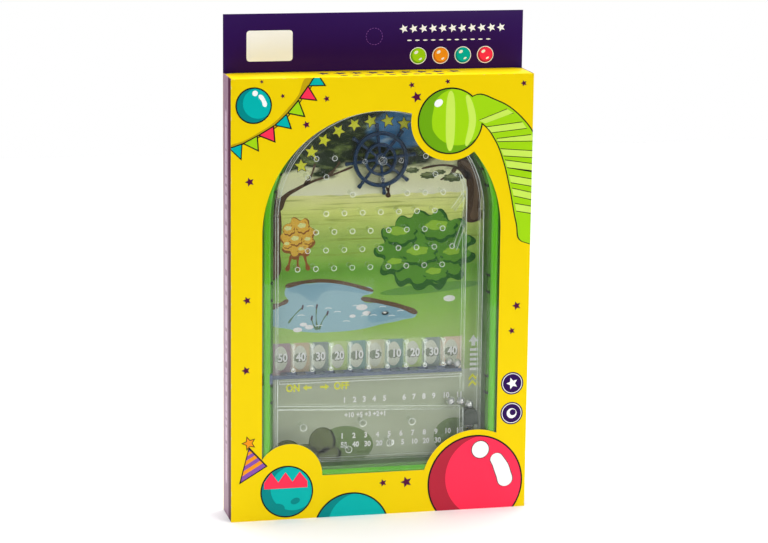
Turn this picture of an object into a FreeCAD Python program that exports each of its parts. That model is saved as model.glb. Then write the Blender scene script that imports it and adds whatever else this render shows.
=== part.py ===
import FreeCAD, Part
import math
import os
import re

import Sketcher

# Boxed tabletop pinball game. Millimetres, X to the right, Y away from the player, Z up.
# The origin is the middle of the carton's underside.

SIZES = {
    # carton of folded board, with a clear window and a hanging header
    "carton_width": 210.0,
    "carton_depth": 32.0,
    "carton_height": 308.0,
    "board": 0.6,
    "film": 0.2,
    "film_margin": 8.0,
    "header_height": 40.0,
    "lid_back_gap": 1.4,
    "lid_tuck": 4.6,
    "lid_notch": 7.0,
    "lid_notch_depth": 3.5,
    "flap_length": 44.0,
    "flap_gap": 0.2,
    "window_side_margin": 21.5,
    "window_top_margin": 23.5,
    "window_bottom": 30.4,
    "window_corner": 6.0,
    "big_ball_side_gap": 36.5,
    "big_ball_height": 19.2,
    "big_ball_radius": 38.5,
    "dome_side_gap": 41.0,
    "dome_height": 31.0,
    "dome_radius": 23.0,
    "striped_ball_side_gap": 58.5,
    "striped_ball_top_gap": 31.5,
    "striped_ball_radius": 27.5,
    # base tray, moulded with a hollow back
    "rim_gap": 1.0,
    "back_gap": 0.3,
    "tray_side_gap": 14.4,
    "tray_top_gap": 5.4,
    "tray_corner": 16.0,
    "tray_wall": 1.8,
    "rim_round": 8.0,
    "lip_bevel": 1.0,
    "rim_width": 14.4,
    "well_rise": 9.0,
    "well_corner": 6.0,
    "well_depth": 14.1,
    # clear cover with its walls, posts and rails
    "plate_drop": 1.2,
    "plate_thickness": 1.6,
    "plate_clearance": 0.2,
    "card_thickness": 0.4,
    "card_clearance": 0.7,
    "wall_inset": 4.2,
    "wall_thickness": 1.5,
    "wall_rise": 2.5,
    "rib_gap": 0.2,
    "lane_width": 10.8,
    "lane_foot_gap": 11.4,
    "lane_top_rise": 16.0,
    "lane_knee_reach": 3.7,
    "lane_knee_rise": 8.6,
    "lane_tip_reach": 7.4,
    "lane_tip_rise": 0.8,
    "deflector_root": 2.6,
    "upper_deflector_rise": 13.0,
    "upper_deflector_reach": 8.2,
    "upper_deflector_drop": 11.0,
    "lower_deflector_fall": 8.5,
    "lower_deflector_reach": 6.6,
    "lower_deflector_drop": 17.0,
    "post_radius": 1.7,
    "pin_row_pitch": 12.7,
    "pin_wall_gap": 13.2,
    "pin_lane_gap": 8.715,
    "pin_grid_drop": 36.2,
    "pin_clearance": 0.9,
    "boss_radius": 2.3,
    # pockets, release slider and return trough
    "first_pocket_width": 10.6,
    "last_pocket_width": 13.58,
    "divider_gap": 3.5,
    "divider_height": 17.2,
    "divider_web": 1.0,
    "divider_bulb": 1.3,
    "slider_rise": 20.4,
    "slider_thickness": 2.5,
    "slider_side_gap": 0.4,
    "slider_rib_width": 5.79,
    "slider_rail": 1.2,
    "slider_throw": 6.6,
    "slot_clearance": 0.3,
    "neck_depth": 2.6,
    "neck_reach": 3.2,
    "tab_width": 4.2,
    "tab_height": 6.8,
    "tab_front_gap": 0.5,
    "tab_depth": 6.7,
    "tab_slot_margin": 0.8,
    "tab_slot_end": 1.4,
    "ledge_length": 8.6,
    "ledge_thickness": 1.5,
    "trough_rise": 33.1,
    "trough_fall": 5.4,
    "trough_thickness": 1.5,
    # spinner wheel
    "wheel_rise": 37.2,
    "wheel_across": 0.9,
    "wheel_thickness": 3.2,
    "wheel_card_gap": 0.9,
    "wheel_post_gap": 0.8,
    "wheel_stub_reach": 12.7,
    "wheel_rim_radius": 18.0,
    "wheel_rim_width": 2.6,
    "wheel_ring_radius": 10.4,
    "wheel_ring_width": 2.0,
    "wheel_hub_radius": 4.2,
    "spoke_width": 1.9,
    "spoke_reach": 20.5,
    "grip_width": 3.0,
    "grip_reach": 25.0,
    "axle_radius": 1.9,
    "axle_clearance": 0.05,
    "axle_shoulder": 0.9,
    # spring plunger and balls
    "ball_radius": 3.0,
    "ball_gap": 0.15,
    "striker_height": 10.6,
    "striker_drop": 2.5,
    "striker_round": 2.6,
    "striker_side_gap": 0.3,
    "striker_depth_gap": 0.6,
    "rod_radius": 2.0,
    "rod_clearance": 0.08,
    "knob_radius": 6.0,
    "knob_height": 10.5,
    "knob_gap": 0.3,
    "knob_bore_depth": 7.0,
    "recess_half_width": 12.0,
    "recess_top": 27.0,
    "spring_coil_radius": 3.3,
    "spring_wire": 0.7,
    "spring_gap": 0.2,
    "trough_ball_inset": 0.8,
    "trough_ball_spacing": 7.2,
    "trough_ball_gap": 0.3,
    "pocket_ball_spacing": 4.5,
    "snap_length": 12.0,
    "snap_reach": 1.0,
    "snap_depth": 2.4,
    "snap_slider_gap": 15.4,
    # a cut runs this far past the piece that it goes through
    "overrun": 5.0,
    # two places this near to each other count as one when edges are looked for
    "edge_tolerance": 0.05,
}

# Pins of each row from the bottom up, as counts of pitches from the grid's left column. A pin that
# the wheel, the arch, a deflector or a divider leaves no room for isn't made.
PIN_ROWS = [
    [0, 1, 2, 3, 4, 5, 6, 7, 8],
    [0.55, 1.55, 2.55, 3.55, 4.55, 5.55, 6.55, 7.55, 8.55],
    [1, 2, 3, 4, 5, 6, 7, 8],
    [1.55, 2.55, 3.55, 4.55, 5.55, 6.55, 7.55],
    [3, 6, 7, 8],
    [0.55, 1.55, 7.55],
    [1, 2, 7],
]
# Bosses of the lower compartment: shares of the inner half width and of the height up to the trough.
BOSS_SHARES = [(-0.73, 0.2), (-0.3, 0.2), (0.11, 0.3), (0.33, 0.74), (-0.16, 0.76), (-0.75, 0.72)]
DIVIDERS = 9
PIN_SIDES = 10
SPOKES = 8
SPOKE_TURN = 7
# The second snap's foot, as a share of the way from the release bar up to the arch.
SECOND_SNAP_SHARE = 0.489
# How far round the arch the third snap lies.
THIRD_SNAP_TURN = 18.8
BALL_SEGMENTS = 18
BALL_RINGS = 9
# How far in from the ball space's front and back the two pocket balls lie, as shares of its depth.
POCKET_BALL_SHARES = (0.3, 0.7)

doc = FreeCAD.newDocument("pinball_game")
sheet = doc.addObject("Spreadsheet::Sheet", "sizes")
for row, (alias, size) in enumerate(SIZES.items(), start=1):
    sheet.set(f"A{row}", alias)
    sheet.set(f"B{row}", str(size))
    sheet.setAlias(f"B{row}", alias)
doc.recompute()

# Depths, from the carton's front to its back.
INNER_FRONT = "(-carton_depth / 2 + board)"
INNER_BACK = "(carton_depth / 2 - board)"
RIM_FRONT = f"({INNER_FRONT} + film + rim_gap)"
TRAY_BACK = f"({INNER_BACK} - back_gap)"
WELL_FLOOR = f"({RIM_FRONT} + well_depth)"
CARD_FRONT = f"({WELL_FLOOR} - card_thickness)"
PLATE_FRONT = f"({RIM_FRONT} + plate_drop)"
PLATE_BACK = f"({PLATE_FRONT} + plate_thickness)"
RIB_BACK = f"({CARD_FRONT} - rib_gap)"
MID_DEPTH = f"(({PLATE_BACK} + {CARD_FRONT}) / 2)"

# Places across.
CARTON_SIDE = "(carton_width / 2)"
INNER_SIDE = "(carton_width / 2 - board)"
WINDOW_SIDE = f"({CARTON_SIDE} - window_side_margin)"
TRAY_SIDE = f"({INNER_SIDE} - tray_side_gap)"
WELL_SIDE = f"({TRAY_SIDE} - rim_width)"
WALL_INNER = f"({WELL_SIDE} - wall_inset)"
WALL_OUTER = f"({WALL_INNER} + wall_thickness)"
LANE_RIGHT = f"({WALL_INNER} - lane_width)"
LANE_LEFT = f"({LANE_RIGHT} - wall_thickness)"
LANE_MIDDLE = f"({WALL_INNER} - lane_width / 2)"
FIRST_DIVIDER = f"(-{WALL_INNER} + first_pocket_width)"
POCKET_PITCH = f"(({LANE_LEFT} - last_pocket_width - {FIRST_DIVIDER}) / {DIVIDERS - 1})"
FIRST_PIN = f"(-{WALL_INNER} + pin_wall_gap)"
PIN_PITCH = f"(({LANE_LEFT} - pin_lane_gap - {FIRST_PIN}) / {max(map(max, PIN_ROWS))})"

# Heights.
INNER_TOP = "(carton_height - board)"
WINDOW_ARCH = f"(carton_height - window_top_margin - {WINDOW_SIDE})"
ARCH_HEIGHT = f"({INNER_TOP} - tray_top_gap - {TRAY_SIDE})"
WELL_FOOT = "(recess_top + well_rise)"
WALL_FOOT = f"({WELL_FOOT} + wall_rise)"
CHANNEL_FLOOR = f"({WALL_FOOT} + wall_thickness)"
TROUGH_RIGHT = f"({CHANNEL_FLOOR} + trough_rise)"
TROUGH_LEFT = f"({TROUGH_RIGHT} + trough_fall)"
TROUGH_SLOPE = f"(trough_fall / ({WALL_INNER} + {LANE_RIGHT}))"
LANE_FOOT = f"({TROUGH_RIGHT} + lane_foot_gap)"
LANE_TOP = f"({ARCH_HEIGHT} + lane_top_rise)"
STRIKER_TOP = f"({TROUGH_RIGHT} - striker_drop)"
SLIDER_FOOT = f"({TROUGH_LEFT} + slider_rise)"
SLIDER_TOP = f"({SLIDER_FOOT} + slider_thickness)"
SLIDER_MIDDLE = f"({SLIDER_FOOT} + slider_thickness / 2)"
DIVIDER_FOOT = f"({SLIDER_TOP} + divider_gap)"
DIVIDER_TOP = f"({DIVIDER_FOOT} + divider_height)"
WHEEL_HEIGHT = f"({ARCH_HEIGHT} + wheel_rise)"
TAB_SLOT_HEIGHT = (
    f"({SLIDER_MIDDLE} - tab_height / 2 - tab_slot_margin)",
    f"({SLIDER_MIDDLE} + tab_height / 2 + tab_slot_margin)",
)
DEFLECTORS = {
    "upper_deflector": f"({ARCH_HEIGHT} + upper_deflector_rise)",
    "lower_deflector": f"({ARCH_HEIGHT} - lower_deflector_fall)",
}

exports = []


def scoped(expression):
    """The expression with every size read from the sheet."""
    names = re.compile(r"[a-z]+(?:_[a-z]+)+|board|film|overrun")
    return names.sub(lambda word: f"<<sizes>>.{word[0]}", expression)


def value(expression):
    return float(sheet.evalExpression(scoped(expression)))


def bind(item, place, expression):
    item.setExpression(place, scoped(expression))


def place_at(item, across, depth, height):
    bind(item, "Placement.Base.x", across)
    bind(item, "Placement.Base.y", depth)
    bind(item, "Placement.Base.z", height)


def sub_part(item, name):
    item.Label = name
    exports.append(item)
    return item


def box(name, across, depth, height):
    """A block between two places on each axis."""
    item = doc.addObject("Part::Box", name)
    bind(item, "Length", f"{across[1]} - ({across[0]})")
    bind(item, "Width", f"{depth[1]} - ({depth[0]})")
    bind(item, "Height", f"{height[1]} - ({height[0]})")
    place_at(item, across[0], depth[0], height[0])
    return item


def turn_to_depth(item):
    item.Placement.Rotation = FreeCAD.Rotation(FreeCAD.Vector(1, 0, 0), -90)


def turned_box(name, middle, turn, span, width, depth):
    """A block that points away from a middle, at an angle, between two distances from it."""
    item = doc.addObject("Part::Box", name)
    bind(item, "Length", f"{span[1]} - ({span[0]})")
    bind(item, "Width", f"{depth[1]} - ({depth[0]})")
    bind(item, "Height", width)
    item.Placement.Rotation = FreeCAD.Rotation(FreeCAD.Vector(0, 1, 0), -turn)
    across = f"{middle[0]} + ({span[0]}) * cos({turn}) + ({width}) / 2 * sin({turn})"
    height = f"{middle[1]} + ({span[0]}) * sin({turn}) - ({width}) / 2 * cos({turn})"
    place_at(item, across, depth[0], height)
    return item


def disc(name, across, height, radius, depth):
    """A cylinder that points away from the player, between two depths."""
    item = doc.addObject("Part::Cylinder", name)
    turn_to_depth(item)
    bind(item, "Radius", radius)
    bind(item, "Height", f"{depth[1]} - ({depth[0]})")
    place_at(item, across, depth[0], height)
    return item


def post(name, across, height, radius, depth):
    """A post with flat sides, few enough for a part that carries dozens of them."""
    item = doc.addObject("Part::Prism", name)
    item.Polygon = PIN_SIDES
    turn_to_depth(item)
    bind(item, "Circumradius", radius)
    bind(item, "Height", f"{depth[1]} - ({depth[0]})")
    place_at(item, across, depth[0], height)
    return item


def upright(name, across, depth, radius, height):
    """A cylinder that stands up, between two heights."""
    item = doc.addObject("Part::Cylinder", name)
    bind(item, "Radius", radius)
    bind(item, "Height", f"{height[1]} - ({height[0]})")
    place_at(item, across, depth, height[0])
    return item


def fuse(name, items):
    item = doc.addObject("Part::MultiFuse", name)
    item.Shapes = items
    return item


def cut(name, base, tools):
    item = doc.addObject("Part::Cut", name)
    item.Base = base
    item.Tool = tools[0] if len(tools) == 1 else fuse(f"{name}_tools", tools)
    return item


def group(name, items):
    """Separate solids that share one name."""
    item = doc.addObject("Part::Compound", name)
    item.Links = items
    return item


def plane_sketch(body, name, role, offset):
    plane = [item for item in body.Origin.OriginFeatures if item.Role == role][0]
    sketch = body.newObject("Sketcher::SketchObject", name)
    sketch.AttachmentSupport = [(plane, "")]
    sketch.MapMode = "FlatFace"
    bind(sketch, "AttachmentOffset.Base.z", offset)
    return sketch


def pin_down(sketch, edge, end, point):
    """Hold one end of an edge at a place that follows the sheet."""
    for kind, expression in zip(("DistanceX", "DistanceY"), point):
        size = value(expression)
        number = sketch.addConstraint(Sketcher.Constraint(kind, -1, 1, edge, end, size))
        bind(sketch, f"Constraints[{number}]", expression)


def flat_point(point):
    return FreeCAD.Vector(value(point[0]), value(point[1]), 0)


def draw_polygon(sketch, points):
    for start, stop in zip(points, points[1:] + points[:1]):
        sketch.addGeometry(Part.LineSegment(flat_point(start), flat_point(stop)), False)
    count = len(points)
    for edge, point in enumerate(points):
        sketch.addConstraint(Sketcher.Constraint("Coincident", edge, 2, (edge + 1) % count, 1))
        pin_down(sketch, edge, 1, point)


def draw_circle(sketch, across, height, radius):
    circle = Part.Circle(flat_point((across, height)), FreeCAD.Vector(0, 0, 1), value(radius))
    edge = sketch.addGeometry(circle, False)
    pin_down(sketch, edge, 3, (across, height))
    number = sketch.addConstraint(Sketcher.Constraint("Radius", edge, value(radius)))
    bind(sketch, f"Constraints[{number}]", radius)


def draw_arc(sketch, centre, radius, first, last):
    circle = Part.Circle(flat_point(centre), FreeCAD.Vector(0, 0, 1), value(radius))
    return sketch.addGeometry(Part.ArcOfCircle(circle, first, last), False)


def draw_arch(sketch, half_width, bottom, arch_height, corner):
    """Straight sides under a half round, with two round lower corners."""
    right_foot = (half_width, f"{bottom} + {corner}")
    right_top = (half_width, arch_height)
    left_top = (f"-({half_width})", arch_height)
    left_foot = (f"-({half_width})", f"{bottom} + {corner}")
    left_base = (f"-({half_width}) + {corner}", bottom)
    right_base = (f"{half_width} - ({corner})", bottom)
    for start, stop in ((right_foot, right_top), (left_top, left_foot), (left_base, right_base)):
        edge = sketch.addGeometry(Part.LineSegment(flat_point(start), flat_point(stop)), False)
        pin_down(sketch, edge, 1, start)
        pin_down(sketch, edge, 2, stop)
    arch = draw_arc(sketch, ("0", arch_height), half_width, 0, math.pi)
    left_round = draw_arc(sketch, (left_base[0], left_foot[1]), corner, math.pi, 1.5 * math.pi)
    right_round = draw_arc(sketch, (right_base[0], right_foot[1]), corner, 1.5 * math.pi, 2 * math.pi)
    joins = [(arch, 0, 2, 1, 1), (left_round, 1, 2, 2, 1), (right_round, 2, 2, 0, 1)]
    for arc, before, before_end, after, after_end in joins:
        sketch.addConstraint(Sketcher.Constraint("Coincident", arc, 1, before, before_end))
        sketch.addConstraint(Sketcher.Constraint("Coincident", arc, 2, after, after_end))
    for arc, kind, expression in (
        (arch, "DistanceY", arch_height),
        (left_round, "DistanceX", left_base[0]),
        (right_round, "DistanceX", right_base[0]),
    ):
        number = sketch.addConstraint(Sketcher.Constraint(kind, -1, 1, arc, 3, value(expression)))
        bind(sketch, f"Constraints[{number}]", expression)


def pad(body, sketch, length):
    feature = body.newObject("PartDesign::Pad", f"{sketch.Name}_pad")
    feature.Profile = sketch
    bind(feature, "Length", length)
    return feature


def pocket(body, sketch, length):
    """Cuts away from the player, which is against the sketch's own direction."""
    feature = body.newObject("PartDesign::Pocket", f"{sketch.Name}_pocket")
    feature.Profile = sketch
    bind(feature, "Length", length)
    return feature


def front_sketch(body, name, depth):
    return plane_sketch(body, name, "XZ_Plane", f"-({depth})")


def polygon_body(name, points, depth):
    """A body with one outline, seen from the front, between two depths."""
    body = doc.addObject("PartDesign::Body", name)
    sketch = front_sketch(body, f"{name}_outline", depth[1])
    draw_polygon(sketch, points)
    pad(body, sketch, f"{depth[1]} - ({depth[0]})")
    return body


def arch_body(name, half_width, bottom, arch_height, corner, depth):
    body = doc.addObject("PartDesign::Body", name)
    sketch = front_sketch(body, f"{name}_outline", depth[1])
    draw_arch(sketch, half_width, bottom, arch_height, corner)
    pad(body, sketch, f"{depth[1]} - ({depth[0]})")
    return body


def cut_arch(body, name, half_width, bottom, arch_height, corner, depth):
    """Takes an arched block out of a body, from one depth back to another."""
    sketch = front_sketch(body, name, depth[0])
    draw_arch(sketch, half_width, bottom, arch_height, corner)
    return pocket(body, sketch, f"{depth[1]} - ({depth[0]})")


def soften_edges(body, kind, depth, size, reach):
    """Fillets or chamfers the edges that lie wholly at one depth and within a half width."""
    doc.recompute()
    tip = body.Tip
    level = value(depth)
    limit = value(reach)
    slack = value("edge_tolerance")
    names = []
    for number, edge in enumerate(tip.Shape.Edges, start=1):
        bounds = edge.BoundBox
        flat = abs(bounds.YMin - level) < slack and abs(bounds.YMax - level) < slack
        if flat and max(-bounds.XMin, bounds.XMax) < limit + slack:
            names.append(f"Edge{number}")
    feature = body.newObject(f"PartDesign::{kind}", f"{body.Name}_{kind}")
    feature.Base = (tip, names)
    bind(feature, "Radius" if kind == "Fillet" else "Size", size)


# Carton panels, lid and header
def build_carton():
    front = ("-carton_depth / 2", INNER_FRONT)
    inside = (INNER_FRONT, INNER_BACK)
    between = (f"-{INNER_SIDE}", INNER_SIDE)
    whole = (f"-{CARTON_SIDE}", CARTON_SIDE)

    panel = box("front_blank", whole, front, ("0", "carton_height"))
    through = ("-carton_depth / 2 - overrun", f"{INNER_FRONT} + overrun")
    arch = arch_body(
        "window_outline",
        WINDOW_SIDE,
        "window_bottom",
        WINDOW_ARCH,
        "window_corner",
        through,
    )
    discs = []
    for name, across, height in (
        ("big_ball", f"{CARTON_SIDE} - big_ball_side_gap", "big_ball_height"),
        ("dome", f"-{CARTON_SIDE} + dome_side_gap", "dome_height"),
        (
            "striped_ball",
            f"{CARTON_SIDE} - striped_ball_side_gap",
            "carton_height - striped_ball_top_gap",
        ),
    ):
        discs.append(disc(f"{name}_print", across, height, f"{name}_radius", through))
    opening = cut("window_opening", arch, discs)
    sub_part(cut("carton_front_cut", panel, [opening]), "carton_front")

    film = box(
        "film_sheet",
        (f"-{WINDOW_SIDE} - film_margin", f"{WINDOW_SIDE} + film_margin"),
        (INNER_FRONT, f"{INNER_FRONT} + film"),
        (
            "window_bottom - film_margin",
            f"{WINDOW_ARCH} + {WINDOW_SIDE} + film_margin",
        ),
    )
    sub_part(film, "window_film")
    sides = (("carton_left_side", (whole[0], between[0])), ("carton_right_side", (between[1], whole[1])))
    for name, across in sides:
        sub_part(box(f"{name}_panel", across, inside, ("0", "carton_height")), name)
    back = box("back_panel", whole, (INNER_BACK, "carton_depth / 2"), ("0", "carton_height"))
    sub_part(back, "carton_back")
    sub_part(box("base_panel", between, inside, ("0", "board")), "carton_base")
    header = box(
        "header_panel",
        whole,
        (f"{INNER_BACK} - board", "carton_depth / 2"),
        ("carton_height", "carton_height + header_height"),
    )
    sub_part(header, "carton_header")

    flap_height = (f"{INNER_TOP} - flap_gap - board", f"{INNER_TOP} - flap_gap")
    flap_back = f"{INNER_BACK} - lid_back_gap - board - 2 * flap_gap"
    left_flap = (between[0], f"{between[0]} + flap_length")
    right_flap = (f"{between[1]} - flap_length", between[1])
    for name, across in (("dust_flap_left", left_flap), ("dust_flap_right", right_flap)):
        sub_part(box(f"{name}_board", across, (INNER_FRONT, flap_back), flap_height), name)
    build_lid()


def build_lid():
    """Top panel with notched corners and a short tuck, hinged on the front panel's top edge."""
    lid_back = f"({INNER_BACK} - lid_back_gap)"
    side = f"({INNER_SIDE} - flap_gap)"
    shoulder = f"({INNER_SIDE} - lid_notch)"
    notch = f"({lid_back} - lid_notch_depth)"
    outline = [
        (f"-{side}", INNER_FRONT),
        (side, INNER_FRONT),
        (side, notch),
        (shoulder, lid_back),
        (f"-{shoulder}", lid_back),
        (f"-{side}", notch),
    ]
    body = doc.addObject("PartDesign::Body", "lid_body")
    sketch = plane_sketch(body, "lid_outline", "XY_Plane", INNER_TOP)
    draw_polygon(sketch, outline)
    pad(body, sketch, "board")
    tuck = box(
        "lid_tuck_board",
        (f"-{shoulder}", shoulder),
        (f"{lid_back} - board", lid_back),
        (f"{INNER_TOP} - lid_tuck", INNER_TOP),
    )
    sub_part(fuse("lid_panel", [body, tuck]), "carton_lid")


# Base tray: a filleted block with a well in front, hollowed from behind
def build_tray():
    body = arch_body(
        "tray_block",
        TRAY_SIDE,
        "board",
        ARCH_HEIGHT,
        "tray_corner",
        (RIM_FRONT, TRAY_BACK),
    )
    soften_edges(body, "Fillet", RIM_FRONT, "rim_round", TRAY_SIDE)
    cut_arch(
        body,
        "tray_well",
        WELL_SIDE,
        WELL_FOOT,
        ARCH_HEIGHT,
        "well_corner",
        (RIM_FRONT, WELL_FLOOR),
    )
    soften_edges(body, "Chamfer", RIM_FRONT, "lip_bevel", WELL_SIDE)

    core = arch_body(
        "tray_core",
        f"{TRAY_SIDE} - tray_wall",
        "board + tray_wall",
        ARCH_HEIGHT,
        "(tray_corner - tray_wall)",
        (f"{RIM_FRONT} + rim_round", f"{TRAY_BACK} + overrun"),
    )
    step = front_sketch(core, "core_step", f"{RIM_FRONT} + rim_round")
    draw_arch(
        step,
        f"{TRAY_SIDE} - rim_round",
        "board + rim_round",
        ARCH_HEIGHT,
        "(tray_corner - rim_round)",
    )
    pad(core, step, "rim_round - tray_wall")
    cut_arch(
        core,
        "core_well",
        f"{WELL_SIDE} + tray_wall",
        f"{WELL_FOOT} - tray_wall",
        ARCH_HEIGHT,
        "(well_corner + tray_wall)",
        (f"{RIM_FRONT} + tray_wall", f"{WELL_FLOOR} + tray_wall"),
    )
    around = box(
        "recess_walls",
        (
            f"{LANE_MIDDLE} - recess_half_width - tray_wall",
            f"{LANE_MIDDLE} + recess_half_width + tray_wall",
        ),
        (RIM_FRONT, f"{TRAY_BACK} + 2 * overrun"),
        ("0", "recess_top + tray_wall"),
    )
    slot_walls = box(
        "tab_slot_walls",
        (f"-{TRAY_SIDE}", f"-{WELL_SIDE}"),
        (RIM_FRONT, f"{RIM_FRONT} + tab_depth + tray_wall"),
        (f"{TAB_SLOT_HEIGHT[0]} - tray_wall", f"{TAB_SLOT_HEIGHT[1]} + tray_wall"),
    )
    hollow = cut("tray_hollow", core, [around, slot_walls])
    recess = box(
        "finger_recess",
        (f"{LANE_MIDDLE} - recess_half_width", f"{LANE_MIDDLE} + recess_half_width"),
        (f"{RIM_FRONT} - overrun", f"{TRAY_BACK} + overrun"),
        ("board - overrun", "recess_top"),
    )
    rod_hole = upright(
        "tray_rod_hole",
        LANE_MIDDLE,
        MID_DEPTH,
        "rod_radius + rod_clearance",
        ("recess_top - overrun", f"{WELL_FOOT} + overrun"),
    )
    tab_slot = box(
        "tab_slot",
        (
            f"-{WELL_SIDE} - slot_clearance - tab_width - slider_throw - tab_slot_end",
            f"-{WELL_SIDE} + tray_wall",
        ),
        (f"{RIM_FRONT} - overrun", f"{RIM_FRONT} + tab_depth"),
        TAB_SLOT_HEIGHT,
    )
    tools = [hollow, recess, rod_hole, tab_slot] + snap_blocks("snap_slot", "slot_clearance")
    sub_part(cut("tray_shell", body, tools), "base_tray")


def snap_blocks(name, clearance):
    """The cover's snaps, two on each long edge and one on each side of the arch, with a clearance
    all round for their slots."""
    blocks = []
    root = f"({WELL_SIDE} - plate_clearance - {clearance})"
    reach = f"({WELL_SIDE} + snap_reach + {clearance})"
    length = f"(snap_length + 2 * {clearance})"
    depth = (f"({PLATE_FRONT} - {clearance})", f"({PLATE_FRONT} + snap_depth + {clearance})")
    feet = (
        f"({SLIDER_FOOT} - snap_slider_gap - {clearance})",
        f"({SLIDER_TOP} + {SECOND_SNAP_SHARE} * ({ARCH_HEIGHT} - {SLIDER_TOP}) - {clearance})",
    )
    for number, foot in enumerate(feet, start=1):
        height = (foot, f"{foot} + {length}")
        blocks.append(box(f"{name}_left_{number}", (f"-{reach}", f"-{root}"), depth, height))
        blocks.append(box(f"{name}_right_{number}", (root, reach), depth, height))
    for side, turn in (("left", 180 - THIRD_SNAP_TURN), ("right", THIRD_SNAP_TURN)):
        middle = ("0", ARCH_HEIGHT)
        blocks.append(turned_box(f"{name}_{side}_3", middle, turn, (root, reach), length, depth))
    return blocks


# Clear cover: plate, walls, lane, pins and bosses
def build_cover():
    plate = arch_body(
        "plate_body",
        f"{WELL_SIDE} - plate_clearance",
        f"{WELL_FOOT} + plate_clearance",
        ARCH_HEIGHT,
        "(well_corner - plate_clearance)",
        (PLATE_FRONT, PLATE_BACK),
    )
    sub_part(plate, "cover_plate")
    card = arch_body(
        "card_body",
        f"{WELL_SIDE} - card_clearance",
        f"{WELL_FOOT} + card_clearance",
        ARCH_HEIGHT,
        "(well_corner - card_clearance)",
        (CARD_FRONT, WELL_FLOOR),
    )
    sub_part(card, "playfield_card")
    sub_part(group("snap_group", snap_blocks("snap", "0")), "cover_snaps")

    depth = (PLATE_BACK, RIB_BACK)
    left = (f"-{WALL_OUTER}", f"-{WALL_INNER}")
    slot = (f"({SLIDER_FOOT} - rib_gap)", f"({SLIDER_TOP} + slot_clearance)")
    pieces = [
        box("left_wall_below", left, depth, (CHANNEL_FLOOR, slot[0])),
        box("left_wall_above", left, depth, (slot[1], ARCH_HEIGHT)),
    ]
    sub_part(group("left_wall_group", pieces), "left_wall")
    right = (WALL_INNER, WALL_OUTER)
    sub_part(box("right_wall_box", right, depth, (CHANNEL_FLOOR, ARCH_HEIGHT)), "right_wall")
    outer = disc("arch_outer", "0", ARCH_HEIGHT, WALL_OUTER, depth)
    outer.Angle = 180
    turn = FreeCAD.Rotation(FreeCAD.Vector(1, 0, 0), 90)
    outer.Placement.Rotation = turn
    bind(outer, "Placement.Base.y", RIB_BACK)
    through = (f"{PLATE_BACK} - overrun", f"{RIB_BACK} + overrun")
    inner = disc("arch_inner", "0", ARCH_HEIGHT, WALL_INNER, through)
    sub_part(cut("arch_ring", outer, [inner]), "arch_wall")
    floor = box("lower_wall_box", (f"-{WALL_OUTER}", WALL_OUTER), depth, (WALL_FOOT, CHANNEL_FLOOR))
    hole = upright(
        "lower_rod_hole",
        LANE_MIDDLE,
        MID_DEPTH,
        "rod_radius + rod_clearance",
        (f"{WALL_FOOT} - overrun", f"{WALL_FOOT} + overrun"),
    )
    sub_part(cut("lower_wall_cut", floor, [hole]), "lower_wall")
    build_lane(depth)


def build_lane(depth):
    """The lane's wall, bent over at its top, with two ribs that turn the balls back into the field."""
    knee = (f"({LANE_LEFT} - lane_knee_reach)", f"({LANE_TOP} + lane_knee_rise)")
    tip = (f"({LANE_LEFT} - lane_tip_reach)", f"({knee[1]} + lane_tip_rise)")
    outline = [
        (LANE_LEFT, LANE_FOOT),
        (LANE_RIGHT, LANE_FOOT),
        (LANE_RIGHT, f"{LANE_TOP} + wall_thickness / 2"),
        (f"{knee[0]} + wall_thickness", f"{knee[1]} + wall_thickness"),
        (tip[0], f"{tip[1]} + wall_thickness"),
        tip,
        knee,
        (LANE_LEFT, LANE_TOP),
    ]
    sub_part(polygon_body("lane_wall_body", outline, depth), "lane_wall")
    ribs = []
    for name, top in DEFLECTORS.items():
        low = f"({top} - {name}_drop)"
        tip = f"({LANE_LEFT} - {name}_reach)"
        outline = [
            (LANE_LEFT, top),
            (tip, low),
            (f"{tip} + deflector_root / 2", f"{low} - deflector_root / 2"),
            (LANE_LEFT, f"{top} - deflector_root"),
        ]
        ribs.append(polygon_body(f"{name}_rib", outline, depth))
    sub_part(group("deflector_group", ribs), "lane_deflectors")
    channel = box(
        "channel_wall_box",
        (LANE_LEFT, LANE_RIGHT),
        depth,
        (CHANNEL_FLOOR, f"{TROUGH_RIGHT} - trough_thickness"),
    )
    sub_part(channel, "plunger_channel_wall")


def pin_has_room(across, height, neighbours):
    """Whether a pin stands in the playfield, clear of its neighbours and of the turning wheel."""
    pin_across = value(across)
    pin_height = value(height)
    room = value("post_radius + pin_clearance")
    above_arch = pin_height - value(ARCH_HEIGHT)
    if above_arch > 0 and math.hypot(pin_across, above_arch) > value(WALL_INNER):
        return False
    if pin_height - room < value(DIVIDER_TOP):
        return False
    from_wheel = math.hypot(pin_across - value("wheel_across"), pin_height - value(WHEEL_HEIGHT))
    if from_wheel < value("grip_reach") + room:
        return False
    middle = Part.Vertex(pin_across, value(MID_DEPTH), pin_height)
    return all(middle.distToShape(item.Shape)[0] > room for item in neighbours)


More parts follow.
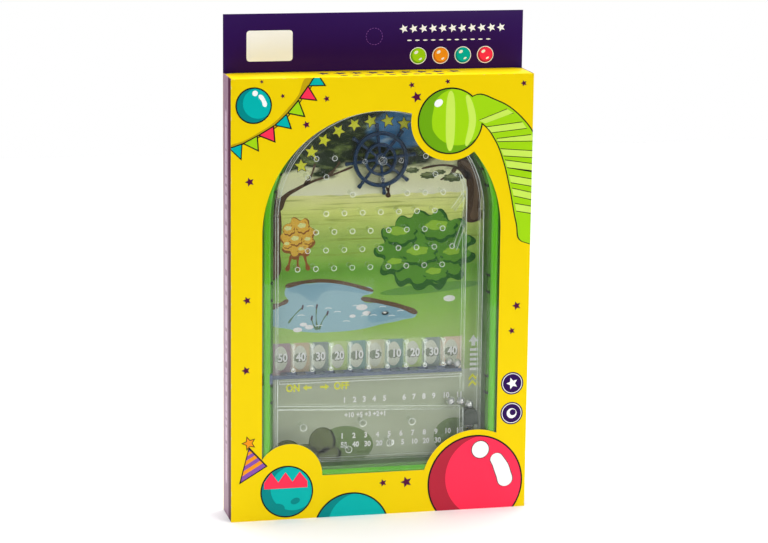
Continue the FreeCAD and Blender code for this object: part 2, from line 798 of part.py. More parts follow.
def build_posts():
    doc.recompute()
    depth = (PLATE_BACK, RIB_BACK)
    walls = ("left_wall", "arch_wall", "lane_wall", "lane_deflectors")
    neighbours = [item for item in exports if item.Label in walls]
    pins = []
    for row, columns in enumerate(PIN_ROWS):
        height = f"{ARCH_HEIGHT} - pin_grid_drop + {row} * pin_row_pitch"
        for column in columns:
            across = f"{FIRST_PIN} + {column} * {PIN_PITCH}"
            if pin_has_room(across, height, neighbours):
                pins.append(post(f"pin_{row}_{len(pins)}", across, height, "post_radius", depth))
    sub_part(group("pin_group", pins), "playfield_pins")
    bosses = []
    for number, (across_share, height_share) in enumerate(BOSS_SHARES):
        across = f"{across_share} * {WALL_INNER}"
        height = f"{CHANNEL_FLOOR} + {height_share} * ({TROUGH_RIGHT} - {CHANNEL_FLOOR})"
        bosses.append(post(f"boss_{number}", across, height, "boss_radius", depth))
    sub_part(group("boss_group", bosses), "cover_bosses")


# Pockets, the bar that lets the balls out of them, and the trough that brings them back
def build_pockets():
    depth = (PLATE_BACK, RIB_BACK)
    for number in range(DIVIDERS):
        across = f"({FIRST_DIVIDER} + {number} * {POCKET_PITCH})"
        web = box(
            f"divider_web_{number + 1}",
            (f"{across} - divider_web / 2", f"{across} + divider_web / 2"),
            depth,
            (DIVIDER_FOOT, DIVIDER_TOP),
        )
        bulbs = [
            post(f"divider_foot_{number + 1}", across, DIVIDER_FOOT, "divider_bulb", depth),
            post(f"divider_head_{number + 1}", across, DIVIDER_TOP, "divider_bulb", depth),
        ]
        divider = fuse(f"divider_{number + 1}", [web] + bulbs)
        sub_part(divider, f"pocket_divider_{number + 1}")
    build_slider()
    ledge_height = (f"{SLIDER_FOOT} - rib_gap - ledge_thickness", f"{SLIDER_FOOT} - rib_gap")
    ledge_across = (f"{LANE_LEFT} - ledge_length", LANE_LEFT)
    ledge_width = "(slider_side_gap + slider_rail)"
    ledges = [
        box("front_ledge", ledge_across, (PLATE_BACK, f"{PLATE_BACK} + {ledge_width}"), ledge_height),
        box("back_ledge", ledge_across, (f"{RIB_BACK} - {ledge_width}", RIB_BACK), ledge_height),
    ]
    sub_part(group("ledge_group", ledges), "slider_ledges")
    outline = [
        (f"-{WALL_INNER}", TROUGH_LEFT),
        (f"-{WALL_INNER}", f"{TROUGH_LEFT} - trough_thickness"),
        (LANE_RIGHT, f"{TROUGH_RIGHT} - trough_thickness"),
        (LANE_RIGHT, TROUGH_RIGHT),
    ]
    sub_part(polygon_body("trough_body", outline, depth), "return_trough")


def build_slider():
    """A ladder whose gaps stand under the dividers until it is pushed to the left."""
    front = f"({PLATE_BACK} + slider_side_gap)"
    back = f"({RIB_BACK} - slider_side_gap)"
    left = f"(-{WALL_INNER} + slot_clearance + neck_reach)"
    body = doc.addObject("PartDesign::Body", "slider_body")
    sketch = plane_sketch(body, "slider_outline", "XY_Plane", SLIDER_FOOT)
    right = f"({LANE_LEFT} - slot_clearance)"
    draw_polygon(sketch, [(left, front), (right, front), (right, back), (left, back)])
    pad(body, sketch, "slider_thickness")
    tools = []
    gap = f"({POCKET_PITCH} - slider_rib_width)"
    for number in range(DIVIDERS + 1):
        middle = f"({FIRST_DIVIDER} + {number} * {POCKET_PITCH})"
        tools.append(
            box(
                f"slider_gap_{number + 1}",
                (f"{middle} - {gap} / 2", f"{middle} + {gap} / 2"),
                (f"{front} + slider_rail", f"{back} - slider_rail"),
                (f"{SLIDER_FOOT} - overrun", f"{SLIDER_TOP} + overrun"),
            )
        )
    tab_right = f"(-{WELL_SIDE} - slot_clearance)"
    tab_front = f"({RIM_FRONT} - tab_front_gap)"
    neck = box(
        "slider_neck",
        (tab_right, f"{left} + slider_rail"),
        (front, f"{front} + neck_depth"),
        (SLIDER_FOOT, SLIDER_TOP),
    )
    tab = box(
        "slider_tab",
        (f"{tab_right} - tab_width", tab_right),
        (tab_front, f"{front} + neck_depth"),
        (f"{TAB_SLOT_HEIGHT[0]} + tab_slot_margin", f"{TAB_SLOT_HEIGHT[1]} - tab_slot_margin"),
    )
    ladder = cut("slider_ladder", body, tools)
    sub_part(fuse("slider_bar", [ladder, neck, tab]), "release_slider")


# Spinner wheel on its stepped post
def build_wheel():
    back = f"({CARD_FRONT} - wheel_card_gap)"
    front = f"({back} - wheel_thickness)"
    body = doc.addObject("PartDesign::Body", "wheel_body")
    hub = front_sketch(body, "wheel_hub", back)
    draw_circle(hub, "wheel_across", WHEEL_HEIGHT, "wheel_hub_radius")
    pad(body, hub, "wheel_thickness")
    rings = []
    for name, radius, width in (
        ("rim", "wheel_rim_radius", "wheel_rim_width"),
        ("ring", "wheel_ring_radius", "wheel_ring_width"),
    ):
        outer = disc(f"wheel_{name}_outer", "wheel_across", WHEEL_HEIGHT, radius, (front, back))
        inner = disc(
            f"wheel_{name}_inner",
            "wheel_across",
            WHEEL_HEIGHT,
            f"{radius} - {width}",
            (f"{front} - overrun", f"{back} + overrun"),
        )
        rings.append(cut(f"wheel_{name}", outer, [inner]))
    spokes = [wheel_spoke(number, (front, back)) for number in range(SPOKES)]
    solid = fuse("wheel_solid", [body] + rings + spokes)
    bore = disc(
        "wheel_bore",
        "wheel_across",
        WHEEL_HEIGHT,
        "axle_radius + axle_clearance",
        (f"{front} - overrun", f"{back} + overrun"),
    )
    sub_part(cut("wheel", solid, [bore]), "spinner_wheel")

    shoulder = disc(
        "axle_shoulder_post",
        "wheel_across",
        WHEEL_HEIGHT,
        "axle_radius + axle_shoulder",
        (PLATE_BACK, f"{front} - rib_gap"),
    )
    shaft = disc("axle_shaft", "wheel_across", WHEEL_HEIGHT, "axle_radius", (PLATE_BACK, RIB_BACK))
    sub_part(fuse("axle_post", [shoulder, shaft]), "wheel_axle")
    stubs = []
    for number, (across, rise) in enumerate(((-1, 0), (1, 0), (0, -1))):
        stubs.append(
            post(
                f"wheel_stub_{number}",
                f"wheel_across + {across} * wheel_stub_reach",
                f"{WHEEL_HEIGHT} + {rise} * wheel_stub_reach",
                "post_radius",
                (PLATE_BACK, f"{front} - wheel_post_gap"),
            )
        )
    sub_part(group("stub_group", stubs), "wheel_stub_posts")


def wheel_spoke(number, depth):
    """One spoke with its grip, turned about the wheel's middle."""
    turn = 360 / SPOKES * number + SPOKE_TURN
    parts = []
    for name, span, width in (
        ("rod", ("wheel_hub_radius / 2", "spoke_reach"), "spoke_width"),
        ("grip", ("spoke_reach", "grip_reach"), "grip_width"),
    ):
        middle = ("wheel_across", WHEEL_HEIGHT)
        parts.append(turned_box(f"spoke_{name}_{number}", middle, turn, span, width, depth))
    return fuse(f"spoke_{number}", parts)


# Spring plunger
def build_plunger():
    across = (f"{LANE_RIGHT} + striker_side_gap", f"{WALL_INNER} - striker_side_gap")
    depth = (f"{PLATE_BACK} + striker_depth_gap", f"{RIB_BACK} - striker_depth_gap")
    bottom = f"({STRIKER_TOP} - striker_height)"
    body = doc.addObject("PartDesign::Body", "striker_body")
    sketch = front_sketch(body, "striker_outline", depth[1])
    draw_polygon(
        sketch,
        [
            (across[0], bottom),
            (across[1], bottom),
            (across[1], STRIKER_TOP),
            (across[0], STRIKER_TOP),
        ],
    )
    block = pad(body, sketch, f"{depth[1]} - ({depth[0]})")
    doc.recompute()
    top = value(STRIKER_TOP)
    slack = value("edge_tolerance")
    corners = []
    for number, edge in enumerate(block.Shape.Edges, start=1):
        bounds = edge.BoundBox
        if bounds.ZMin > top - slack and bounds.YLength > bounds.XLength:
            corners.append(f"Edge{number}")
    fillet = body.newObject("PartDesign::Fillet", "striker_corners")
    fillet.Base = (block, corners)
    bind(fillet, "Radius", "striker_round")
    knob_top = "(recess_top - knob_gap)"
    rod_foot = f"({knob_top} - knob_bore_depth)"
    rod = upright("rod_shaft", LANE_MIDDLE, MID_DEPTH, "rod_radius", (rod_foot, f"{bottom} + overrun"))
    sub_part(fuse("striker_rod", [body, rod]), "plunger_rod")

    knob_foot = f"({knob_top} - knob_height)"
    grip = upright("knob_grip", LANE_MIDDLE, MID_DEPTH, "knob_radius", (knob_foot, knob_top))
    bore = upright(
        "knob_bore", LANE_MIDDLE, MID_DEPTH, "rod_radius", (rod_foot, f"{knob_top} + overrun")
    )
    sub_part(cut("knob_shell", grip, [bore]), "plunger_knob")

    span = (f"{CHANNEL_FLOOR} + spring_gap", f"{bottom} - spring_gap")
    coil = upright("coil_outer", LANE_MIDDLE, MID_DEPTH, "spring_coil_radius + spring_wire / 2", span)
    inside = upright(
        "coil_inner",
        LANE_MIDDLE,
        MID_DEPTH,
        "spring_coil_radius - spring_wire / 2",
        (f"{span[0]} - overrun", f"{span[1]} + overrun"),
    )
    sub_part(cut("coil_sleeve", coil, [inside]), "plunger_spring")


# Steel balls, each a turned form of flat facets
def ball_shape(radius):
    def point(ring, segment):
        polar = math.pi * ring / BALL_RINGS
        turn = 2 * math.pi * segment / BALL_SEGMENTS
        flat = radius * math.sin(polar)
        return FreeCAD.Vector(flat * math.cos(turn), flat * math.sin(turn), radius * math.cos(polar))

    faces = []
    for ring in range(BALL_RINGS):
        for segment in range(BALL_SEGMENTS):
            corners = [
                point(ring, segment),
                point(ring + 1, segment),
                point(ring + 1, segment + 1),
                point(ring, segment + 1),
            ]
            if ring == 0:
                corners.pop()
            if ring == BALL_RINGS - 1:
                corners.pop(1)
            faces.append(Part.Face(Part.makePolygon(corners + corners[:1])))
    return Part.makeSolid(Part.makeShell(faces))


def ball(name, across, depth, height):
    item = doc.addObject("Part::Feature", f"{name}_steel")
    item.Shape = ball_shape(value("ball_radius"))
    place_at(item, across, depth, height)
    sub_part(item, name)


def build_balls():
    ball("lane_ball", LANE_MIDDLE, MID_DEPTH, f"{STRIKER_TOP} + ball_gap + ball_radius")
    for number in range(2):
        across = f"({LANE_RIGHT} - trough_ball_inset - {number} * trough_ball_spacing)"
        along = f"({TROUGH_RIGHT} + ({LANE_RIGHT} - {across}) * {TROUGH_SLOPE})"
        ball(f"trough_ball_{number + 1}", across, MID_DEPTH, f"{along} + trough_ball_gap + ball_radius")
    on_bar = f"{SLIDER_TOP} + ball_gap + ball_radius"
    wall_side = f"({LANE_LEFT} - ball_gap - ball_radius)"
    inner = f"({RIB_BACK} - {PLATE_BACK})"
    places = (wall_side, f"{wall_side} - pocket_ball_spacing")
    for number, across in enumerate(places):
        depth = f"{PLATE_BACK} + {POCKET_BALL_SHARES[number]} * {inner}"
        ball(f"pocket_ball_{number + 1}", across, depth, on_bar)


def write_parts():
    doc.recompute()
    faults = [item.Label for item in doc.Objects if {"Invalid", "Error"} & set(item.State)]
    for item in exports:
        if item.Shape.isNull() or not item.Shape.isValid():
            faults.append(item.Label)
    if faults:
        raise RuntimeError(f"these did not build: {faults}")
    os.makedirs("parts", exist_ok=True)
    for item in exports:
        item.Shape.exportStep(f"parts/{item.Label}.step")


build_carton()
build_tray()
build_cover()
build_pockets()
build_wheel()
build_posts()
build_plunger()
build_balls()
write_parts()
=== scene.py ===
"""A tabletop pinball game in its window carton: the looks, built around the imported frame."""

from __future__ import annotations

import logging
import math
from collections.abc import Iterable, Sequence
from dataclasses import dataclass, field
from enum import Enum

import bmesh
import bpy
from mathutils import Matrix, Vector


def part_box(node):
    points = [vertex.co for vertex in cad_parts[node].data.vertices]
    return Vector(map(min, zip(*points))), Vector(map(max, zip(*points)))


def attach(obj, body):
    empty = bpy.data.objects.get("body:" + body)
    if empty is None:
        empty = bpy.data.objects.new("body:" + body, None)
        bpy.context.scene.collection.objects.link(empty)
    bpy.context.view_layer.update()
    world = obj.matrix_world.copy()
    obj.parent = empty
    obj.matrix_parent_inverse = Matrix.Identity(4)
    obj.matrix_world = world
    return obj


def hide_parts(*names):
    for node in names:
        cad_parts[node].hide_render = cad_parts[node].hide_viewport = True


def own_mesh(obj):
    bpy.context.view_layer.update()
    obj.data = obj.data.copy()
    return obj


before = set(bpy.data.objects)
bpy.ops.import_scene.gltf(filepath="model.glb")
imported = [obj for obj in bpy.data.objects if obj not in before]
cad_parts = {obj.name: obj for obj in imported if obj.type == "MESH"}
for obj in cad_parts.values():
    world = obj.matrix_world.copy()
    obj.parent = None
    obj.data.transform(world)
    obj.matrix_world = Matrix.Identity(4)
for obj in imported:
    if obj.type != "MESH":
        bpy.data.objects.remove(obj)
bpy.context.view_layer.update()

MM = 0.001
TO_METRES = Matrix.Scale(MM, 4)
LOG = logging.getLogger("boxed_game")

Point = tuple[float, float]
Place = tuple[float, float, float]
Colour = tuple[float, float, float, float]
Shape = bmesh.types.BMesh
Material = bpy.types.Material

# The carton's body and the centre of the game's arch, in millimetres.
HALF_WIDTH, HALF_DEPTH, BODY_HEIGHT = 105.0, 16.0, 308.0
ARCH_HEIGHT = 212.0


class Body(Enum):
    """The bodies that pieces ride on."""

    GAME = "boxed_game"
    LID = "lid"
    WHEEL = "spinner"
    SLIDER = "slider"
    PLUNGER = "plunger"
    LANE_BALL = "lane_ball"
    TROUGH_BALL_1 = "trough_ball_1"
    TROUGH_BALL_2 = "trough_ball_2"
    POCKET_BALL_1 = "pocket_ball_1"
    POCKET_BALL_2 = "pocket_ball_2"


class Slot(Enum):
    """The record's material slots."""

    YELLOW_BOARD = "printed_board"
    LILAC_BOARD = "lilac_board"
    PURPLE_BOARD = "purple_board"
    GREEN = "green_plastic"
    CLEAR = "clear_plastic"
    CARD = "printed_card"
    NAVY = "navy_plastic"
    SLATE = "slate_plastic"
    DARK = "dark_plastic"
    BALL = "ball_steel"
    SPRING = "spring_steel"


def paint(red: float, green: float, blue: float) -> Colour:
    """Turns a display colour into a linear one.

    Args:
        red: red, 0 to 255.
        green: green, 0 to 255.
        blue: blue, 0 to 255.

    Returns:
        The linear colour with full alpha.
    """

    def channel(value: float) -> float:
        """One channel, from display to linear."""
        share = value / 255
        return share / 12.92 if share <= 0.04045 else ((share + 0.055) / 1.055) ** 2.4

    return channel(red), channel(green), channel(blue), 1.0


def grey(value: float) -> Colour:
    """A plain grey from its linear value."""
    return value, value, value, 1.0


def under_cover(red: float, green: float, blue: float, haze: float = 0.0) -> Colour:
    """The print's own colour, from its colour as seen through the film and the cover.

    Args:
        red: red as seen, 0 to 255.
        green: green as seen, 0 to 255.
        blue: blue as seen, 0 to 255.
        haze: light that the two clear sheets reflect over it.

    Returns:
        The linear colour with full alpha.
    """
    seen = paint(red, green, blue)
    clear_share = 0.55
    own = [min(0.95, max(0.004, (value - haze) / clear_share)) for value in seen[:3]]
    return own[0], own[1], own[2], 1.0


class Ink(Enum):
    """The carton's printing inks."""

    YELLOW = paint(243, 211, 0)
    DARK_YELLOW = paint(196, 165, 14)
    PURPLE = paint(46, 14, 82)
    WINE = paint(84, 18, 62)
    OUTLINE = paint(22, 20, 26)
    RED = paint(255, 52, 86)
    DARK_RED = paint(184, 42, 62)
    TEAL = paint(0, 181, 176)
    DARK_TEAL = paint(0, 138, 138)
    LIME = paint(163, 218, 20)
    DARK_LIME = paint(112, 172, 18)
    PALE_LIME = paint(205, 238, 92)
    ORANGE = paint(247, 152, 28)
    DARK_ORANGE = paint(208, 112, 20)
    CREAM = paint(250, 246, 238)
    WHITE = paint(252, 252, 250)
    LILAC = paint(140, 84, 170)


HAZE = 0.09


class CardInk(Enum):
    """The playfield card's printing inks, as they are under the cover."""

    WATER = under_cover(140, 166, 176, 0.06)
    DEEP_WATER = under_cover(112, 144, 160)
    RIPPLE = under_cover(186, 208, 212)
    BANK = under_cover(86, 66, 50)
    LILY = under_cover(226, 188, 190)
    LILY_HEART = under_cover(240, 226, 222)
    REED = under_cover(78, 104, 74)
    REED_HEAD = under_cover(74, 62, 70)
    TRUNK = under_cover(72, 56, 44)
    TRUNK_LIGHT = under_cover(96, 78, 62)
    SHADE = under_cover(84, 128, 56)
    STONE = under_cover(190, 190, 184)
    BUSH = under_cover(76, 122, 44)
    BUSH_LIGHT = under_cover(124, 160, 54)
    BUSH_DARK = under_cover(44, 84, 38)
    WISP = under_cover(70, 80, 52)
    WISP_LIGHT = under_cover(108, 116, 78)
    AUTUMN = under_cover(196, 152, 64)
    AUTUMN_DARK = under_cover(124, 78, 44)
    AUTUMN_LIGHT = under_cover(226, 204, 128)
    SUN_YELLOW = under_cover(216, 206, 44)
    NUMBER = under_cover(254, 254, 248)
    ARROW = under_cover(226, 214, 74, 0.05)
    MAUVE = under_cover(162, 148, 152, HAZE)
    RUST = under_cover(180, 168, 150, HAZE)
    SLATE = under_cover(146, 154, 150, HAZE)
    OLIVE = under_cover(172, 186, 142, HAZE)
    DARK_TEAL = under_cover(138, 156, 152, HAZE)
    TAN = under_cover(182, 182, 160, HAZE)
    SALMON = under_cover(192, 178, 164, HAZE)
    OVAL = under_cover(188, 190, 180, HAZE)
    BAND = under_cover(140, 146, 134, HAZE)
    ROCK = under_cover(116, 122, 100, HAZE)
    DARK_ROCK = under_cover(104, 110, 92, HAZE)
    HOLLOW = under_cover(120, 134, 104, HAZE)
    OUTLINE = under_cover(52, 48, 30)


AnyInk = Ink | CardInk
BALL_INKS = (
    (Ink.LIME, Ink.DARK_LIME),
    (Ink.ORANGE, Ink.DARK_ORANGE),
    (Ink.TEAL, Ink.DARK_TEAL),
    (Ink.RED, Ink.DARK_RED),
)
BUSH_INKS = (CardInk.BUSH_DARK, CardInk.BUSH, CardInk.BUSH_LIGHT)
AUTUMN_INKS = (CardInk.AUTUMN_DARK, CardInk.AUTUMN, CardInk.AUTUMN_LIGHT)


class Wire:
    """One output of a node. Arithmetic on it adds Math nodes."""

    def __init__(self, bench: NodeBench, socket: bpy.types.NodeSocket) -> None:
        """Wraps one socket of a node tree."""
        self.bench = bench
        self.socket = socket

    def __add__(self, other: Wire | float) -> Wire:
        """Adds."""
        return self.bench.maths("ADD", self, other)

    __radd__ = __add__

    def __sub__(self, other: Wire | float) -> Wire:
        """Subtracts."""
        return self.bench.maths("SUBTRACT", self, other)

    def __rsub__(self, other: Wire | float) -> Wire:
        """Subtracts this from a number."""
        return self.bench.maths("SUBTRACT", other, self)

    def __mul__(self, other: Wire | float) -> Wire:
        """Multiplies."""
        return self.bench.maths("MULTIPLY", self, other)

    __rmul__ = __mul__

    def __truediv__(self, other: Wire | float) -> Wire:
        """Divides."""
        return self.bench.maths("DIVIDE", self, other)

    def __pow__(self, other: float) -> Wire:
        """Raises to a power."""
        return self.bench.maths("POWER", self, other)

    def __abs__(self) -> Wire:
        """The size without its sign."""
        return self.bench.maths("ABSOLUTE", self)


Value = Wire | float | Colour | Place


class NodeBench:
    """A node tree, with the few calls that a finish is written in."""

    def __init__(self, tree: bpy.types.NodeTree) -> None:
        """Empties the tree and keeps it."""
        self.tree = tree
        tree.nodes.clear()

    def make(
        self,
        kind: str,
        settings: dict[str, object] | None = None,
        sockets: dict[int | str, Value] | None = None,
    ) -> bpy.types.Node:
        """Makes one node.

        Args:
            kind: the node's type without the word ShaderNode.
            settings: its settings.
            sockets: a number, a colour or a Wire for each socket.

        Returns:
            The node.
        """
        made = self.tree.nodes.new(f"ShaderNode{kind}")
        for key, value in (settings or {}).items():
            setattr(made, key, value)
        for key, value in (sockets or {}).items():
            self.join(value, made.inputs[key])
        return made

    def join(self, value: Value, socket: bpy.types.NodeSocket) -> None:
        """Feeds a socket.

        Args:
            value: a Wire to link, or the socket's own value.
            socket: the socket.
        """
        if isinstance(value, Wire):
            self.tree.links.new(value.socket, socket)
        else:
            socket.default_value = value

    def wire(self, kind: str, settings: dict, sockets: dict, output: int = 0) -> Wire:
        """Makes a node and wraps one of its outputs.

        Args:
            kind: the node's type without the word ShaderNode.
            settings: its settings.
            sockets: its sockets' values.
            output: which output.

        Returns:
            The output.
        """
        return Wire(self, self.make(kind, settings, sockets).outputs[output])

    def maths(self, operation: str, *values: Wire | float) -> Wire:
        """One Math node."""
        return self.wire("Math", {"operation": operation}, dict(enumerate(values)))

    def step(self, value: Wire, low: float, high: float) -> Wire:
        """A smooth rise from 0 to 1.

        Args:
            value: what rises.
            low: where it leaves 0.
            high: where it reaches 1.

        Returns:
            The rise.
        """
        sockets = {0: value, 1: low, 2: high}
        return self.wire("MapRange", {"interpolation_type": "SMOOTHSTEP"}, sockets)

    def mix(self, factor: Wire | float, first: Value, second: Value) -> Wire:
        """Mixes two colours.

        Args:
            factor: how much of the second.
            first: a colour.
            second: a colour.

        Returns:
            The mixed colour.
        """
        sockets = {0: factor, 6: first, 7: second}
        return self.wire("Mix", {"data_type": "RGBA"}, sockets, output=2)

    def ramp(self, factor: Wire, stops: Sequence[tuple[float, Colour]]) -> Wire:
        """A colour ramp.

        Args:
            factor: what it runs over.
            stops: each stop's place and colour.

        Returns:
            The colour.
        """
        made = self.make("ValToRGB", {}, {0: factor})
        elements = made.color_ramp.elements
        while len(elements) < len(stops):
            elements.new(1.0)
        for element, (place, colour) in zip(elements, stops):
            element.position, element.color = place, colour
        return Wire(self, made.outputs[0])

    def scaled(self, colour: Wire, amount: Wire) -> Wire:
        """A colour made lighter or darker by an amount."""
        return self.wire("VectorMath", {"operation": "SCALE"}, {0: colour, 3: amount})


class Shader(NodeBench):
    """A material's nodes, around one Principled shader."""

    def __init__(self, name: str, **constants: float | Colour) -> None:
        """Starts a material.

        Args:
            name: the material's name.
            constants: the shader's own values, underscores for spaces.
        """
        self.material = bpy.data.materials.new(name)
        self.material.use_nodes = True
        super().__init__(self.material.node_tree)
        self.surface = self.make("BsdfPrincipled")
        self.output = self.make("OutputMaterial")
        self.tree.links.new(self.surface.outputs[0], self.output.inputs[0])
        for key, value in constants.items():
            socket = key.replace("_", " ").title().replace("Ior", "IOR")
            self.surface.inputs[socket].default_value = value
        self.position = self.wire(
            "VectorMath",
            {"operation": "SCALE"},
            {0: self.wire("TexCoord", {}, {}, output=3), 3: 1 / MM},
        )
        parts = self.make("SeparateXYZ", {}, {0: self.position})
        self.x, self.y, self.z = (Wire(self, socket) for socket in parts.outputs)

    def feed(self, socket: str, value: Wire) -> None:
        """Feeds one socket of the Principled shader."""
        self.join(value, self.surface.inputs[socket])

    def noise(
        self,
        stretch: float | Place,
        detail: float = 3.0,
        offset: Place = (0.0, 0.0, 0.0),
    ) -> Wire:
        """A noise over the piece.

        Args:
            stretch: cells per millimetre, alike in all directions or along each axis.
            detail: how many octaves.
            offset: a shift, so that two noises differ.

        Returns:
            The noise, 0 to 1.
        """
        if not isinstance(stretch, tuple):
            stretch = (stretch,) * 3
        sockets = {0: self.position, 1: stretch, 2: offset}
        place = self.wire("VectorMath", {"operation": "MULTIPLY_ADD"}, sockets)
        return self.wire("TexNoise", {}, {"Vector": place, "Scale": 1.0, "Detail": detail})

    def bump(self, height: Wire, depth: float, strength: float = 1.0) -> None:
        """Gives the surface a relief.

        Args:
            height: the relief, 0 to 1.
            depth: its depth in millimetres.
            strength: how strongly it shows.
        """
        relief = self.wire(
            "Bump", {}, {"Height": height, "Distance": depth * MM, "Strength": strength}
        )
        self.feed("Normal", relief)


class Finish:
    """Something that a piece can be dressed in."""

    def material(self) -> Material:
        """Makes the material."""
        raise NotImplementedError


@dataclass(frozen=True)
class PrintedBoard(Finish):
    """Varnished folding carton board.

    Attributes:
        name: the material's name.
        colour: the ink that covers it.
        fold_colour: the ink along its front fold, if another.
        fold_reach: how far behind the front that ink reaches, in millimetres.
        bare: how far its unprinted inner side reaches across, back and up, in millimetres.
    """

    name: str
    colour: Colour
    fold_colour: Colour | None = None
    fold_reach: float = 11.0
    bare: Place = (104.7, 15.7, 307.7)

    def material(self) -> Material:
        """Makes the material."""
        shader = Shader(self.name, specular_ior_level=0.08, coat_weight=0.02, coat_roughness=0.2)
        cloud = shader.noise(0.02, 2.0)
        fibre = shader.noise(1.6, 5.0)
        colour = self.colour
        if self.fold_colour is not None:
            fold = self.fold_reach - HALF_DEPTH
            front = 1 - shader.step(shader.y, fold, fold + 0.1)
            colour = shader.mix(front, self.colour, self.fold_colour)
            dash = shader.noise((0.01, 0.01, 0.2), 1.0, (0.0, 0.0, 6.0))
            line = (1 - shader.step(abs(shader.y - 4.0), 2.6, 3.0)) * shader.step(dash, 0.38, 0.5)
            line = line * shader.step(shader.z, 22, 24) * (1 - shader.step(shader.z, 282, 286))
            colour = shader.mix(line * 0.75, colour, paint(232, 208, 228))
        tone = 0.965 + cloud * 0.05 + fibre * 0.02
        colour = shader.mix(self._inner_side(shader), colour, paint(172, 168, 158))
        colour = shader.scaled(colour, tone)
        scuff = shader.noise(0.35, 8.0, (7.0, 3.0, 1.0))
        worn = self._edge_wear(shader) * shader.step(scuff, 0.56, 0.7)
        colour = shader.mix(worn * 0.7, colour, paint(236, 232, 226))
        shader.feed("Base Color", colour)
        shader.feed("Roughness", 0.36 + fibre * 0.14)
        shader.bump(fibre * 0.5 + cloud * 6.0, 0.05, 0.6)
        return shader.material

    def _inner_side(self, shader: Shader) -> Wire:
        """The unprinted grey side of the board, which faces the game."""
        inside = shader.step(shader.y, 0.2 - HALF_DEPTH, 0.4 - HALF_DEPTH)
        inside = inside * shader.step(shader.z, 0.2, 0.4)
        for place, reach in zip((abs(shader.x), shader.y, shader.z), self.bare):
            inside = inside * (1 - shader.step(place, reach - 0.1, reach + 0.1))
        return inside

    @staticmethod
    def _edge_wear(shader: Shader) -> Wire:
        """Where the folds and corners rub: within about half a millimetre of the carton's edges."""
        side = shader.step(abs(shader.x), HALF_WIDTH - 0.55, HALF_WIDTH - 0.02)
        front = 1 - shader.step(shader.y, 0.02 - HALF_DEPTH, 0.5 - HALF_DEPTH)
        back = shader.step(shader.y, HALF_DEPTH - 0.6, HALF_DEPTH - 0.02)
        above = shader.z - BODY_HEIGHT
        high = shader.step(above, -0.7, -0.05) * (1 - shader.step(above, 0.3, 0.6))
        low = 1 - shader.step(shader.z, 0.05, 0.6)
        return side * (front + back) + (high + low) * (front + back + side) * 0.6


@dataclass(frozen=True)
class SheetInk(Finish):
    """Printing ink, coloured by the piece's own ink attribute.

    Attributes:
        name: the material's name.
        gloss: roughness of the ink.
        grain: how much the tone wanders.
    """

    name: str
    gloss: float = 0.36
    grain: float = 0.05

    def material(self) -> Material:
        """Makes the material."""
        shader = Shader(self.name, specular_ior_level=0.08, coat_weight=0.02, coat_roughness=0.2)
        ink = shader.wire("Attribute", {"attribute_name": "ink"}, {})
        cloud = shader.noise(0.05, 2.0, (3.0, 0.0, 5.0))
        fibre = shader.noise(1.6, 5.0)
        tone = 1.0 - self.grain + cloud * self.grain * 1.4 + fibre * self.grain * 0.6
        shader.feed("Base Color", shader.scaled(ink, tone))
        shader.feed("Roughness", self.gloss - 0.05 + fibre * 0.1)
        shader.bump(fibre, 0.02, 0.5)
        return shader.material


@dataclass(frozen=True)
class Moulded(Finish):
    """Injection-moulded coloured plastic.

    Attributes:
        name: the material's name.
        colour: its colour.
        shade: the colour of its thin and shaded places.
        roughness: its roughness.
        coat: how much of a glossy skin it has.
        painted_gap_shadows: heights of the near-black ticks painted at the ends of its snap slots
            as the shadow inside their gaps, in millimetres.
    """

    name: str
    colour: Colour
    shade: Colour
    roughness: float = 0.3
    coat: float = 0.3
    painted_gap_shadows: tuple[float, ...] = ()

    def material(self) -> Material:
        """Makes the material."""
        shader = Shader(self.name, coat_weight=self.coat, coat_roughness=0.08)
        flow = shader.noise((0.03, 0.08, 0.012), 3.0)
        grain = shader.noise(2.2, 4.0)
        colour = shader.mix(shader.step(flow, 0.35, 0.7) * 0.5, self.colour, self.shade)
        # Painted shadow: near-black ticks on the rim's inner wall at each snap slot end, standing
        # for the shade inside the gaps.
        for height in self.painted_gap_shadows:
            near = 1 - shader.step(abs(shader.z - height), 0.8, 1.1)
            front = 1 - shader.step(shader.y, -8.6, -7.4)
            inner = 1 - shader.step(abs(shader.x), 77.4, 78.2)
            colour = shader.mix(near * front * inner, colour, paint(16, 26, 14))
        shader.feed("Base Color", shader.scaled(colour, 0.97 + grain * 0.06))
        shader.feed("Roughness", self.roughness - 0.05 + grain * 0.12)
        shader.bump(grain * 0.4 + flow, 0.03, 0.5)
        return shader.material


